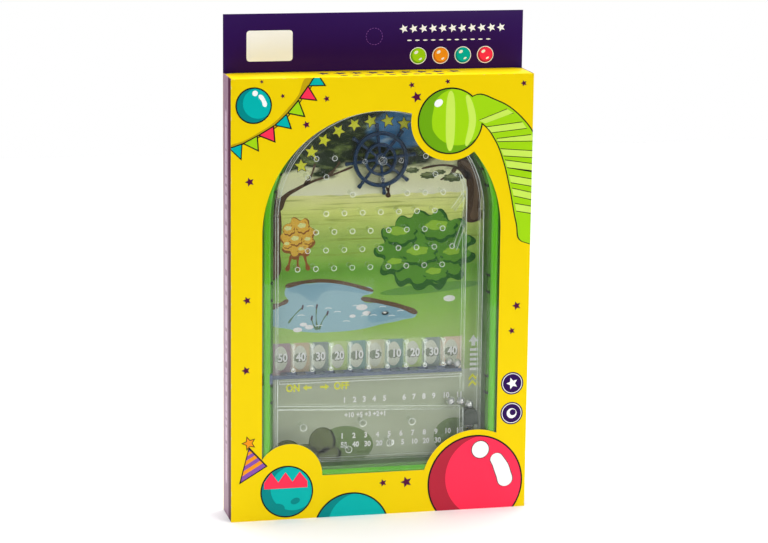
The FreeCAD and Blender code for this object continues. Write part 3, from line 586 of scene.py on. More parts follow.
@dataclass(frozen=True)
class ClearSheet(Finish):
    """Clear plastic. Light passes straight through, and its skin mirrors the room.

    Attributes:
        name: the material's name.
        tint: its colour where it shows.
        body: how much of it shows when it is looked straight through.
        edge: how much more shows where it is seen edge on.
        roughness: its roughness.
        mirror: how far what shows of it mirrors the room, rather than looks white.
        ripple: the waviness of its surface, in millimetres.
        painted_glow: a glow painted on as emission, which lightens what shows of it as a painted
            highlight; it is no lamp.
    """

    name: str
    tint: Colour
    body: float
    edge: float
    roughness: float
    mirror: float = 1.0
    ripple: float = 0.0
    painted_glow: float = 0.0

    def material(self) -> Material:
        """Makes the material."""
        # The emission is a painted glow, not a lamp.
        shader = Shader(
            self.name, base_color=self.tint, metallic=self.mirror,
            emission_color=self.tint, emission_strength=self.painted_glow,
        )
        smudge = shader.noise(0.12, 5.0)
        shader.feed("Roughness", self.roughness + shader.step(smudge, 0.45, 0.8) * 0.06)
        if self.ripple:
            wave = shader.noise((0.012, 0.05, 0.016), 1.0, (4.0, 0.0, 2.0))
            shader.bump(wave, self.ripple)
        facing = shader.wire("LayerWeight", {}, {"Blend": 0.5}, output=1)
        shown = facing ** 5.0 + (0.017 + self.body) + facing ** 2.0 * self.edge
        clear = shader.make("BsdfTransparent", {}, {0: (0.957, 0.96, 0.956, 1.0)})
        factor = shader.maths("MINIMUM", shown, 0.95)
        both = shader.make("MixShader", {}, {0: factor})
        shader.tree.links.new(clear.outputs[0], both.inputs[1])
        shader.tree.links.new(shader.surface.outputs[0], both.inputs[2])
        shader.tree.links.new(both.outputs[0], shader.output.inputs[0])
        return shader.material


@dataclass(frozen=True)
class Steel(Finish):
    """Polished or bright-drawn steel.

    Attributes:
        name: the material's name.
        roughness: its roughness.
        scratch: cells per millimetre of its fine scratches.
        metallic: how metallic it looks through the two clear sheets.
    """

    name: str
    roughness: float
    scratch: float | Place
    metallic: float = 1.0

    def material(self) -> Material:
        """Makes the material."""
        shader = Shader(self.name, metallic=self.metallic)
        mark = shader.noise(self.scratch, 6.0)
        tone = shader.ramp(mark, [(0.3, paint(214, 214, 216)), (0.7, paint(238, 238, 238))])
        shader.feed("Base Color", tone)
        shader.feed("Roughness", self.roughness + shader.step(mark, 0.5, 0.8) * 0.08)
        shader.bump(mark, 0.004, 0.4)
        return shader.material


@dataclass(frozen=True)
class Landscape(Finish):
    """The playfield card's painted background: sky, leaves, meadow and the score zone.

    Attributes:
        name: the material's name.
        horizon: height of the sky's lower edge.
        leaf_line: height where the leaves start.
    """

    name: str = "playfield_print"
    horizon: float = 224.5
    leaf_line: float = 241.5

    def material(self) -> Material:
        """Makes the material."""
        shader = Shader(self.name, specular_ior_level=0.12, coat_weight=0.03, coat_roughness=0.25)
        wander = shader.noise(0.06, 3.0)
        brush = shader.noise((0.022, 0.1, 0.55), 4.0)
        colour = self._ground(shader, wander, brush)
        colour = self._sky(shader, colour, wander)
        colour = self._leaves(shader, colour)
        # The grey-green ground of the score table, below the pockets.
        pale, deep = under_cover(168, 174, 156, HAZE), under_cover(158, 163, 146, HAZE)
        below = 1 - shader.step(shader.z, 97.9, 98.3)
        colour = shader.mix(below, colour, shader.mix(wander, deep, pale))
        grain = shader.noise(1.4, 4.0)
        shader.feed("Base Color", shader.scaled(colour, 0.95 + grain * 0.1))
        shader.feed("Roughness", 0.4 + grain * 0.12)
        shader.bump(grain, 0.02, 0.5)
        return shader.material

    def _ground(self, shader: Shader, wander: Wire, brush: Wire) -> Wire:
        """The meadow, in bands that lighten towards the hills.

        Args:
            shader: the card's nodes.
            wander: a soft noise that bends the bands.
            brush: a long flat noise for the strokes.

        Returns:
            The colour.
        """
        height = (shader.z + (wander - 0.5) * 10) / 300
        stops = [
            (0.33, under_cover(122, 142, 96)),
            (0.41, under_cover(136, 163, 90)),
            (0.47, under_cover(120, 156, 68)),
            (0.53, under_cover(106, 148, 60)),
            (0.575, under_cover(90, 138, 50)),
            (0.605, under_cover(124, 158, 70)),
            (0.66, under_cover(144, 164, 84)),
            (0.705, under_cover(180, 188, 106)),
            (0.748, under_cover(208, 206, 130)),
        ]
        colour = shader.ramp(height, stops)
        far = shader.step(shader.z, 168, 196)
        stroke = shader.step(brush, 0.52, 0.66)
        dark = under_cover(116, 128, 52)
        return shader.mix(stroke * far * 0.5 + stroke * 0.12, colour, dark)

    def _sky(self, shader: Shader, below: Wire, wander: Wire) -> Wire:
        """The cream sky above the hills.

        Args:
            shader: the card's nodes.
            below: the colour so far.
            wander: a soft noise.

        Returns:
            The colour.
        """
        height = (shader.z + (wander - 0.5) * 8) / 300
        stops = [
            (0.74, under_cover(228, 224, 168)),
            (0.8, under_cover(212, 210, 150)),
            (0.86, under_cover(176, 182, 146)),
            (0.95, under_cover(110, 130, 120)),
        ]
        sky = shader.ramp(height, stops)
        edge = self.horizon + (wander - 0.5) * 5
        above = shader.step(shader.z - edge, -0.4, 0.6)
        return shader.mix(above, below, sky)

    def _leaves(self, shader: Shader, below: Wire) -> Wire:
        """The dark crowns along the top, with a patch of blue between them.

        Args:
            shader: the card's nodes.
            below: the colour so far.

        Returns:
            The colour.
        """
        clump = shader.noise((0.035, 0.05, 0.11), 3.0, (5.0, 2.0, 9.0))
        fleck = shader.noise((0.09, 0.1, 0.2), 3.0)
        dark = under_cover(32, 42, 24)
        light = under_cover(92, 106, 54)
        leaf = shader.mix(shader.step(fleck, 0.48, 0.74), dark, light)
        rise = (shader.z - self.leaf_line - shader.x * 0.03) / 10 + (clump - 0.5) * 5
        colour = shader.mix(shader.step(rise, -0.3, 0.5), below, leaf)
        across, along = (shader.x - 16) / 26, (shader.z - 269) / 13
        patch = across * across + along * along + (clump - 0.5) * 1.6
        cloud = shader.noise((0.06, 0.06, 0.14), 4.0, (1.0, 8.0, 2.0))
        blue = shader.mix(
            shader.step(cloud, 0.5, 0.7), under_cover(62, 112, 158), under_cover(150, 176, 190)
        )
        return shader.mix(1 - shader.step(patch, 0.6, 1.15), colour, blue)


class Finishes:
    """Every finish of the object, each made once."""

    def __init__(self) -> None:
        """Makes the materials."""
        yellow, lilac = Ink.YELLOW.value, paint(170, 136, 157)
        purple = Ink.PURPLE.value
        self.front = PrintedBoard("yellow_board", yellow).material()
        self.side = PrintedBoard("lilac_side_board", lilac, Ink.WINE.value).material()
        self.header = PrintedBoard("purple_header_board", purple).material()
        self.lid = PrintedBoard("lid_board", yellow, bare=(110.0, 13.7, 307.7)).material()
        self.flap = PrintedBoard("dust_flap_board", lilac, bare=(110.0, 15.7, 306.9)).material()
        self.ink = SheetInk("carton_ink").material()
        self.card_ink = SheetInk("card_ink", 0.42, 0.1).material()
        self.card = Landscape().material()
        self.film = ClearSheet(
            "window_film", paint(250, 252, 252), 0.0, 0.02, 0.03, 0.8, 0.12
        ).material()
        self.cover = ClearSheet(
            "clear_cover", paint(236, 242, 242), 0.0, 0.1, 0.05, 0.9, 0.05
        ).material()
        self.posts = ClearSheet(
            "clear_posts", paint(244, 250, 246), 0.02, 0.06, 0.06, 1.0
        ).material()
        # Painted highlight: the edges of the clear parts are shown as white, partly opaque plastic
        # with a painted glow, standing for the light that clear edges catch.
        self.edges = ClearSheet(
            "clear_edges_painted_highlight", paint(250, 252, 250), 0.55, 0.3, 0.12, 0.0, 0.0, 0.8
        ).material()
        # Painted shade and highlight: the tray and its bead are one green plastic. The tray's green
        # is darkened as painted shade, the bead's green is lightened as painted highlight, and the
        # tray also carries painted gap shadows.
        self.green = Moulded(
            "green_tray_painted_shade", paint(70, 128, 24), paint(56, 108, 18), 0.3, 0.4,
            (83.5, 95.5, 155.5, 167.5, 230.6, 242.4),
        ).material()
        self.bead = Moulded(
            "green_bead_painted_highlight", paint(98, 196, 10), paint(78, 170, 6), 0.24, 0.5
        ).material()
        self.navy = Moulded(
            "navy_wheel", paint(24, 60, 98), paint(18, 46, 78), 0.34, 0.1
        ).material()
        self.slate = Moulded(
            "slate_slider", paint(102, 116, 140), paint(84, 96, 118), 0.3, 0.3
        ).material()
        self.dark = Moulded(
            "dark_plunger", paint(46, 60, 40), paint(34, 46, 32), 0.42, 0.05
        ).material()
        self.ball = Steel("polished_ball", 0.1, 0.9, 0.6).material()
        self.spring = Steel("spring_wire", 0.22, (3.0, 3.0, 0.4)).material()


# Points closer than this are one, in millimetres.
SNUG = 0.0005
# The turn of an upright star, in degrees.
UPRIGHT = 18.0
FRONT_TURN = Matrix(((1, 0, 0), (0, 0, -1), (0, 1, 0))).to_4x4()


def metre_place(x: float, y: float, z: float) -> Matrix:
    """Takes a mesh in millimetres to a place of the object, in metres."""
    return Matrix.Translation((x * MM, y * MM, z * MM)) @ TO_METRES


def front_place(depth: float) -> Matrix:
    """Takes a flat drawing in millimetres to a plane that faces the front.

    Args:
        depth: the plane's y, in millimetres.

    Returns:
        The matrix from drawing to object, in metres.
    """
    return metre_place(0, depth, 0) @ FRONT_TURN


def stored(shape: Shape, name: str) -> bpy.types.Mesh:
    """Keeps a finished mesh under a name and frees its working copy."""
    mesh = bpy.data.meshes.new(name)
    shape.to_mesh(mesh)
    shape.free()
    return mesh


def linked(name: str, data: bpy.types.ID) -> bpy.types.Object:
    """Makes an object of a mesh, lamp or camera and puts it in the scene."""
    made = bpy.data.objects.new(name, data)
    bpy.context.scene.collection.objects.link(made)
    return made


def add_shape(target: Shape, shape: Shape) -> list[bmesh.types.BMFace]:
    """Adds one mesh to another and frees it.

    Args:
        target: the mesh that grows.
        shape: the mesh that is used up.

    Returns:
        The new faces.
    """
    before = len(target.faces)
    carrier = stored(shape, "carrier")
    target.from_mesh(carrier)
    bpy.data.meshes.remove(carrier)
    target.faces.ensure_lookup_table()
    return target.faces[before:]


def soften(shape: Shape, angle: float = 35.0) -> None:
    """Shades a mesh smooth up to an angle.

    Args:
        shape: the mesh.
        angle: edges sharper than this stay sharp, in degrees.
    """
    limit = math.radians(angle)
    for face in shape.faces:
        face.smooth = True
    for edge in shape.edges:
        edge.smooth = edge.calc_face_angle(0.0) < limit


def place_piece(
    shape: Shape,
    name: str,
    material: Material,
    replaced: Iterable[str] = (),
    body: Body = Body.GAME,
    angle: float = 35.0,
    highlight_trim: Material | None = None,
) -> bpy.types.Object:
    """Makes a finished mesh into a piece of the object.

    Args:
        shape: the mesh, in metres and in place.
        name: the piece's name.
        material: its material.
        replaced: the CAD nodes that it stands for.
        body: the body that it rides on.
        angle: edges sharper than this stay sharp, in degrees.
        highlight_trim: the material of its faces that are marked as edges, which on the clear parts
            is the white glowing painted highlight.

    Returns:
        The piece.
    """
    soften(shape, angle)
    mesh = stored(shape, name)
    mesh.materials.append(material)
    # The second material is the painted edge highlight.
    if highlight_trim is not None:
        mesh.materials.append(highlight_trim)
    piece = linked(name, mesh)
    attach(piece, body.value)
    replaced = list(replaced)
    if replaced:
        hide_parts(*replaced)
    LOG.info("%s: %d faces on %s", name, len(mesh.polygons), body.value)
    return piece


def round_edges(
    shape: Shape, edges: Sequence[bmesh.types.BMEdge], radius: float
) -> list[bmesh.types.BMFace]:
    """Rounds edges of a mesh.

    Args:
        shape: the mesh.
        edges: its edges to round.
        radius: the rounding, in the mesh's own unit.

    Returns:
        The new faces.
    """
    cut = bmesh.ops.bevel(
        shape, geom=edges, offset=radius, segments=2, profile=0.5, affect="EDGES",
        material=-1, clamp_overlap=True,
    )
    return cut["faces"]


def merged_copy(
    nodes: Iterable[str], round_over: float = 0.0, highlight_behind: float | None = None
) -> Shape:
    """Joins the loose triangles of CAD nodes, and rounds their edges.

    Args:
        nodes: the nodes.
        round_over: the rounding of the sharp edges, in millimetres.
        highlight_behind: y, in millimetres, behind which the rounded faces get the second material,
            the painted edge highlight.

    Returns:
        The mesh.
    """
    whole = bmesh.new()
    for node in nodes:
        shape = bmesh.new()
        shape.from_mesh(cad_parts[node].data)
        bmesh.ops.remove_doubles(shape, verts=shape.verts, dist=4 * SNUG * MM)
        flat, corner = math.radians(0.6), math.radians(40)
        bmesh.ops.dissolve_limit(
            shape, angle_limit=flat, verts=shape.verts, edges=shape.edges
        )
        if round_over:
            sharp = [e for e in shape.edges if e.calc_face_angle(0.0) > corner]
            faces = round_edges(shape, sharp, round_over * MM)
            # Rounded faces behind that depth take the second material: a painted highlight along
            # the edges.
            for face in faces if highlight_behind is not None else ():
                face.material_index = int(face.calc_center_median().y > highlight_behind * MM)
        bmesh.ops.triangulate(shape, faces=[f for f in shape.faces if len(f.verts) > 4])
        add_shape(whole, shape)
    return whole


def dress_node(node: str, material: Material) -> None:
    """Gives a CAD node that stays its finish."""
    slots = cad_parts[node].data.materials
    slots.clear()
    slots.append(material)


def turned(outline: Sequence[Point], steps: int, closed: bool = False) -> Shape:
    """Spins an outline about the vertical axis.

    Args:
        outline: radius and height of its points, in millimetres.
        steps: how many steps round.
        closed: whether the last point joins the first.

    Returns:
        The mesh, in millimetres.
    """
    shape = bmesh.new()
    verts = [shape.verts.new((radius, 0, height)) for radius, height in outline]
    pairs = list(zip(verts, verts[1:]))
    if closed:
        pairs.append((verts[-1], verts[0]))
    edges = [shape.edges.new(pair) for pair in pairs]
    bmesh.ops.spin(
        shape, geom=verts + edges, cent=(0, 0, 0), axis=(0, 0, 1), angle=math.tau,
        steps=steps, use_merge=True,
    )
    bmesh.ops.remove_doubles(shape, verts=shape.verts, dist=SNUG)
    bmesh.ops.recalc_face_normals(shape, faces=shape.faces)
    return shape


def set_in(shape: Shape, place: Matrix) -> Shape:
    """Moves a mesh by a matrix and gives it back."""
    bmesh.ops.transform(shape, matrix=place, verts=shape.verts)
    return shape


def rounded_block(low: Sequence[float], high: Sequence[float], radius: float) -> Shape:
    """A block with rounded edges.

    Args:
        low: its lowest corner, in millimetres.
        high: its highest corner, in millimetres.
        radius: the rounding of its edges.

    Returns:
        The mesh, in millimetres.
    """
    shape = bmesh.new()
    size = Vector(high) - Vector(low)
    middle = (Vector(high) + Vector(low)) / 2
    place = Matrix.Translation(middle) @ Matrix.Diagonal((*size, 1))
    bmesh.ops.create_cube(shape, size=1.0, matrix=place)
    # Every rounded face takes the second material, which on the clear parts is the painted edge
    # highlight.
    for face in round_edges(shape, shape.edges[:], radius):
        face.material_index = 1
    return shape


def flat_curve(points: Sequence[Point], smooth: bool) -> Shape:
    """A flat shape inside a closed line.

    Args:
        points: the line's points, in millimetres.
        smooth: whether the line rounds its points.

    Returns:
        The flat mesh.
    """
    curve = bpy.data.curves.new("outline", "CURVE")
    curve.dimensions = "2D"
    curve.fill_mode = "FRONT"
    curve.resolution_u = 6
    spline = curve.splines.new("BEZIER")
    spline.bezier_points.add(len(points) - 1)
    handle = "AUTO" if smooth else "VECTOR"
    for knot, (across, along) in zip(spline.bezier_points, points):
        knot.co = (across, along, 0)
        knot.handle_left_type = knot.handle_right_type = handle
    spline.use_cyclic_u = True
    return _flat_mesh(curve)


def flat_text(words: str, size: float) -> Shape:
    """A flat number or plain word, centred.

    Args:
        words: what it says.
        size: its letter height, in millimetres.

    Returns:
        The flat mesh.
    """
    curve = bpy.data.curves.new("lettering", "FONT")
    curve.body = words
    curve.size = size
    curve.align_x = curve.align_y = "CENTER"
    curve.fill_mode = "FRONT"
    curve.resolution_u = 3
    curve.offset = 0.04 * size
    return _flat_mesh(curve)


def _flat_mesh(curve: bpy.types.Curve) -> Shape:
    """Makes a filled curve a flat mesh and removes the curve."""
    holder = bpy.data.objects.new(curve.name, curve)
    mesh = bpy.data.meshes.new_from_object(holder)
    bpy.data.objects.remove(holder)
    bpy.data.curves.remove(curve)
    shape = bmesh.new()
    shape.from_mesh(mesh)
    bpy.data.meshes.remove(mesh)
    bmesh.ops.remove_doubles(shape, verts=shape.verts, dist=2 * SNUG)
    bmesh.ops.dissolve_degenerate(shape, edges=shape.edges, dist=2 * SNUG)
    return shape


def tapered(points: Sequence[Place]) -> list[Point]:
    """The outline of a branch, rope or stripe that changes its width.

    Args:
        points: across, along and width of its middle line.

    Returns:
        The closed outline.
    """
    left, right = [], []
    for index, (across, along, width) in enumerate(points):
        before = points[max(index - 1, 0)]
        after = points[min(index + 1, len(points) - 1)]
        run = Vector((after[0] - before[0], after[1] - before[1])).normalized()
        side = Vector((-run.y, run.x)) * width / 2
        left.append((across + side.x, along + side.y))
        right.append((across - side.x, along - side.y))
    return left + right[::-1]


def cloud(centre: Point, radii: Point, lobes: int) -> list[Point]:
    """The scalloped outline of a bush or a cloud.

    Args:
        centre: its middle.
        radii: its radii.
        lobes: how many lobes it has.

    Returns:
        The closed outline.
    """
    points = []
    for index in range(lobes * 3):
        turn = math.tau * index / (lobes * 3)
        reach = 0.86 if index % 3 == 0 else 1.0 + 0.05 * math.sin(index * 1.7)
        across, along = (radius * reach for radius in radii)
        points.append((centre[0] + across * math.cos(turn), centre[1] + along * math.sin(turn)))
    return points


def station(path: Sequence[Place], distance: float) -> tuple[Vector, Vector, float]:
    """The place, the direction across and the width at a distance along a tapered path.

    Args:
        path: x, z and width of its knots.
        distance: how far along.

    Returns:
        The place, the direction across it and its width.
    """
    for (ax, az, first), (bx, bz, last) in zip(path, path[1:]):
        start, way = Vector((ax, az)), Vector((bx - ax, bz - az))
        if distance <= way.length or (bx, bz, last) == path[-1]:
            share = distance / way.length
            across = Vector((-way.y, way.x)).normalized()
            return start + way * share, across, first + (last - first) * share
        distance -= way.length
    raise ValueError("a path needs two knots")


def flat_place(centre: Point, turn: float = 0.0) -> Matrix:
    """Turns a flat drawing by some degrees and moves it to its place."""
    return Matrix.Translation((*centre, 0)) @ Matrix.Rotation(math.radians(turn), 4, "Z")


@dataclass
class PrintSheet:
    """Ink shapes pressed on a flat face, each a thin closed layer on the ones before.

    Attributes:
        name: the piece's name.
        depth: y of the face, in millimetres.
        limits: lowest and highest x, then lowest and highest z of the sheet.
        lift: thickness of one layer, in millimetres.
        turn: takes the sheet from the front to another side.
    """

    name: str
    depth: float
    limits: tuple[float, float, float, float]
    lift: float = 0.035
    turn: Matrix = field(default_factory=Matrix)

    def __post_init__(self) -> None:
        """Starts the sheet's mesh."""
        self.mesh = bmesh.new()
        self.layer = self.mesh.loops.layers.float_color.new("ink")

    def press(self, shape: Shape, ink: AnyInk, level: int) -> None:
        """Cuts a flat shape to the sheet, thickens it and inks it.

        Args:
            shape: the flat shape, in millimetres.
            ink: its ink.
            level: how many layers lie under it.
        """
        low_x, high_x, low_z, high_z = self.limits
        cuts = [
            ((low_x, 0, 0), (-1, 0, 0)), ((high_x, 0, 0), (1, 0, 0)),
            ((0, low_z, 0), (0, -1, 0)), ((0, high_z, 0), (0, 1, 0)),
        ]
        for point, direction in cuts:
            bmesh.ops.bisect_plane(
                shape, geom=shape.verts[:] + shape.edges[:] + shape.faces[:],
                dist=SNUG, plane_co=point, plane_no=direction, clear_outer=True,
            )
        if not shape.faces:
            shape.free()
            return
        bmesh.ops.translate(shape, verts=shape.verts, vec=(0, 0, (level - 0.5) * self.lift))
        grown = bmesh.ops.extrude_face_region(shape, geom=shape.faces[:])
        top = [v for v in grown["geom"] if isinstance(v, bmesh.types.BMVert)]
        bmesh.ops.translate(shape, verts=top, vec=(0, 0, self.lift * 1.5))
        bmesh.ops.recalc_face_normals(shape, faces=shape.faces)
        for face in add_shape(self.mesh, shape):
            for loop in face.loops:
                loop[self.layer] = ink.value

    def disc(
        self, centre: Point, radii: float | Point, ink: AnyInk, level: int, turn: float = 0.0
    ) -> None:
        """Presses a disc or an ellipse.

        Args:
            centre: its middle.
            radii: its radius, or its two radii.
            ink: its ink.
            level: how many layers lie under it.
            turn: its turn, in degrees.
        """
        across, along = radii if isinstance(radii, tuple) else (radii, radii)
        shape = bmesh.new()
        steps = 72 if across > 8 else 40 if across > 2 else 20
        place = flat_place(centre, turn) @ Matrix.Diagonal((across, along, 1, 1))
        bmesh.ops.create_circle(shape, cap_ends=True, radius=1.0, segments=steps, matrix=place)
        self.press(shape, ink, level)

    def star(
        self, centre: Point, radius: float, ink: AnyInk, level: int, turn: float = UPRIGHT
    ) -> None:
        """Presses a five-pointed star.

        Args:
            centre: its middle.
            radius: its points' radius.
            ink: its ink.
            level: how many layers lie under it.
            turn: its turn, in degrees.
        """
        shape = bmesh.new()
        bmesh.ops.create_circle(shape, cap_ends=True, radius=radius, segments=10)
        shape.verts.ensure_lookup_table()
        bmesh.ops.scale(shape, vec=(0.46, 0.46, 1), verts=list(shape.verts)[1::2])
        self.press(set_in(shape, flat_place(centre, turn)), ink, level)

    def patch(
        self, points: Sequence[Point], ink: AnyInk, level: int, smooth: bool = False
    ) -> None:
        """Presses the shape inside a closed line.

        Args:
            points: the line's points.
            ink: its ink.
            level: how many layers lie under it.
            smooth: whether the line rounds its points.
        """
        self.press(flat_curve(points, smooth), ink, level)

    def stroke(self, points: Sequence[Place], ink: AnyInk, level: int) -> None:
        """Presses a line that changes its width.

        Args:
            points: across, along and width of its middle line.
            ink: its ink.
            level: how many layers lie under it.
        """
        self.press(flat_curve(tapered(points), True), ink, level)

    def text(
        self,
        words: str,
        centre: Point,
        size: float,
        ink: AnyInk,
        level: int,
        stretch: float = 1.0,
    ) -> None:
        """Presses a number or a plain word.

        Args:
            words: what it says.
            centre: its middle.
            size: its letter height.
            ink: its ink.
            level: how many layers lie under it.
            stretch: its width, as a share of the plain letters' width.
        """
        place = flat_place(centre) @ Matrix.Diagonal((stretch, 1, 1, 1))
        self.press(set_in(flat_text(words, size), place), ink, level)

    def finish(
        self, material: Material, body: Body = Body.GAME
    ) -> bpy.types.Object:
        """Makes the sheet a piece.

        Args:
            material: its material.
            body: the body that carries it.

        Returns:
            The piece.
        """
        set_in(self.mesh, self.turn @ front_place(self.depth))
        return place_piece(self.mesh, self.name, material, body=body)


@dataclass
class Assembly:
    """A sub-assembly of the object.

    Attributes:
        finishes: the object's finishes.
    """

    finishes: Finishes

    def build(self) -> None:
        """Builds and dresses it."""
        raise NotImplementedError


@dataclass
class Carton(Assembly):
    """The folding carton with its window film and hanging header.

    Attributes:
        face: how far its printed faces lie from its middle, in millimetres, so that the
            ink on them ends flush.
        header_front: y of the header's face.
        header_top: height of the header's top edge.
    """

    face: float = HALF_DEPTH - 0.2
    header_front: float = 14.8
    header_top: float = 348.0

    def build(self) -> None:
        """Builds and dresses the carton."""
        self._printed_panel("carton_front", "front_board", -1)
        for node in ("carton_left_side", "carton_right_side"):
            self._panel(node, f"{node}_board", Slot.LILAC_BOARD, self.finishes.side)
        self._printed_panel("carton_back", "back_board", 1)
        self._panel("carton_base", "base_board", Slot.YELLOW_BOARD, self.finishes.front)
        self._panel("carton_header", "header_board", Slot.PURPLE_BOARD, self.finishes.header)
        for node in ("dust_flap_left", "dust_flap_right"):
            self._panel(node, f"{node}_board", Slot.LILAC_BOARD, self.finishes.flap)
        lid = merged_copy(["carton_lid"], 0.15)
        nodes = ["carton_lid"]
        place_piece(lid, "lid_board", self.finishes.lid, nodes, Body.LID)
        dress_node("window_film", self.finishes.film)
        self._front_print()
        self._header_print()
        self._back_print()
        self._lid_print()

    def _lid_print(self) -> None:
        """The lid's row of dark stars over a row of dots."""
        sheet = PrintSheet(
            "lid_print",
            -BODY_HEIGHT,
            (1.0 - HALF_WIDTH, HALF_WIDTH - 1.0, -14.0, 12.0),
            turn=Matrix.Rotation(math.radians(-90), 4, "X"),
        )
        for index in range(9):
            sheet.star((-38.0 + 11.4 * index, 3.0), 5.0, Ink.PURPLE, 0)
            sheet.disc((-26.0 + 8.4 * index, -7.6), (2.6, 1.6), Ink.PURPLE, 0)
        sheet.finish(self.finishes.ink, Body.LID)

    def _back_print(self) -> None:
        """The back panel's print: a cream panel in a purple frame, among the front's ornaments."""
        sheet = PrintSheet(
            "back_print",
            -self.face,
            (-HALF_WIDTH, HALF_WIDTH, 0.0, BODY_HEIGHT),
            turn=Matrix.Rotation(math.pi, 4, "Z"),
        )
        self._bunting(sheet)
        self._balloon_balls(sheet)
        sheet.patch(rounded_corners(-84.0, 84.0, 74.0, 232.0, 8.0), Ink.PURPLE, 1)
        sheet.patch(rounded_corners(-82.4, 82.4, 75.6, 230.4, 6.4), Ink.CREAM, 2)
        for index, inks in enumerate(BALL_INKS):
            centre = (-54.0 + 36.0 * index, 50.0)
            self._shiny_ball(sheet, centre, 11.0, inks)
            sheet.disc((centre[0] + 3.4, centre[1] + 5.0), (2.4, 1.4), Ink.WHITE, 4, -40.0)
        for index in range(3):
            x = -52.0 + 52.0 * index
            sheet.patch(rounded_corners(x - 21.0, x + 21.0, 118.0, 216.0, 21.0), Ink.YELLOW, 3)
            sheet.disc((x, 98.0), 9.0, Ink.PURPLE, 3)
            sheet.text(str(index + 1), (x, 98.0), 12.0, Ink.WHITE, 4)
            sheet.disc((x, 150.0 + 17.0 * index), 4.6, Ink.RED, 4)
            for row in range(4):
                for step in range(3):
                    sheet.disc((x - 11.0 + 11.0 * step, 136.0 + 20.0 * row), 1.3, Ink.PURPLE, 4)
        stars = [
            (0.0, 284.0, 6.0), (30.0, 262.0, 4.0), (62.0, 286.0, 5.0), (88.0, 258.0, 4.0),
            (-88.0, 24.0, 4.0), (-30.0, 20.0, 4.0), (30.0, 20.0, 4.0), (88.0, 24.0, 4.0),
        ]
        for x, z, radius in stars:
            sheet.star((x, z), radius, Ink.WINE, 2)
        sheet.finish(self.finishes.ink)

    @staticmethod
    def _panel(node: str, name: str, slot: Slot, material: Material) -> None:
        """A plain panel with its edges rounded as board's are.

        Args:
            node: the CAD node.
            name: the piece's name.
            slot: the record's material slot; not used.
            material: its material.
        """
        place_piece(merged_copy([node], 0.12), name, material, [node])

    def _printed_panel(self, node: str, name: str, side: int) -> None:
        """A panel whose printed face is set back by the thickness of its ink.

        Args:
            node: the CAD node.
            name: the piece's name.
            side: -1 for the front, 1 for the back.
        """
        shape = merged_copy([node])
        for vert in shape.verts:
            if vert.co.y * side > (HALF_DEPTH - 0.01) * MM:
                vert.co.y = side * self.face * MM
        place_piece(shape, name, self.finishes.front, [node])

    def _front_print(self) -> None:
        """The party print on the front panel."""
        sheet = PrintSheet("front_print", -self.face, (-HALF_WIDTH, HALF_WIDTH, 0.0, BODY_HEIGHT))
        self._bunting(sheet)
        self._balloon_balls(sheet)
        self._corner_ball(sheet)
        self._streamer_ball(sheet)
        self._party_hat(sheet)
        self._stars(sheet)
        sheet.finish(self.finishes.ink)

    @staticmethod
    def _bunting(sheet: PrintSheet) -> None:
        """The rope of pennants across the upper left corner."""
        rope = [
            (-51.3, 307.9, 3.0), (-57.7, 295.6, 3.4), (-65.2, 286.3, 3.6),
            (-74.8, 277.0, 3.2), (-85.8, 270.4, 2.6), (-96.0, 265.6, 1.6), (-106.0, 262.4, 0.8),
        ]
        edge = [(x + 0.3, z - 0.4, width + 0.3) for x, z, width in rope]
        sheet.stroke(edge, Ink.OUTLINE, 1)
        sheet.stroke(rope, Ink.DARK_YELLOW, 2)
        flags = [
            (((-46.5, 311.5), (-52.2, 302.6), (-40.6, 302.6)), Ink.TEAL),
            (((-52.5, 302.6), (-58.4, 294.2), (-46.4, 292.6)), Ink.RED),
            (((-59.0, 293.2), (-66.5, 284.4), (-54.6, 281.8)), Ink.LIME),
            (((-67.2, 283.8), (-75.2, 276.4), (-63.8, 273.8)), Ink.TEAL),
            (((-75.9, 276.0), (-86.4, 269.8), (-74.9, 265.0)), Ink.RED),
            (((-87.0, 269.6), (-96.7, 264.6), (-86.2, 259.2)), Ink.LIME),
            (((-97.4, 264.4), (-106.2, 261.6), (-98.0, 253.6)), Ink.TEAL),
        ]
        for corners, ink in flags:
            middle = sum((Vector(c) for c in corners), Vector((0, 0))) / 3
            inner = [tuple(middle + (Vector(c) - middle) * 0.84) for c in corners]
            corners = [tuple(middle + (Vector(c) - middle) * 1.1) for c in corners]
            sheet.patch(corners, Ink.OUTLINE, 3)
            sheet.patch(inner, ink, 4)

    @staticmethod
    def _shiny_ball(sheet: PrintSheet, centre: Point, radius: float, inks: tuple[Ink, Ink]) -> None:
        """A glossy ball with a dark outline, a shaded side and two lights.

        Args:
            sheet: the sheet.
            centre: its middle.
            radius: its radius.
            inks: its ink and its shade.
        """
        x, z = centre
        line = 0.85 + radius * 0.008
        sheet.disc(centre, radius, Ink.OUTLINE, 1)
        sheet.disc(centre, radius - line, inks[1], 2)
        reach = radius - line
        lit = bmesh.new()
        place = Matrix.Translation((x + radius * 0.24, z + radius * 0.12, 0))
        bmesh.ops.create_circle(lit, cap_ends=True, radius=reach * 0.9, segments=72, matrix=place)
        for vert in lit.verts:
            away = vert.co - Vector((x, z, 0))
            if away.length > reach:
                vert.co = Vector((x, z, 0)) + away.normalized() * reach
        sheet.press(lit, inks[0], 3)

    def _balloon_balls(self, sheet: PrintSheet) -> None:
        """The teal ball of the upper left corner and its lights."""
        self._shiny_ball(sheet, (-89.5, 290.0), 12.4, (Ink.TEAL, Ink.DARK_TEAL))
        sheet.disc((-88.6, 298.3), (1.9, 1.9), Ink.WHITE, 4)
        sheet.stroke(
            [(-85.6, 297.0, 1.6), (-82.9, 293.4, 2.7), (-81.6, 289.4, 1.8)], Ink.WHITE, 4
        )

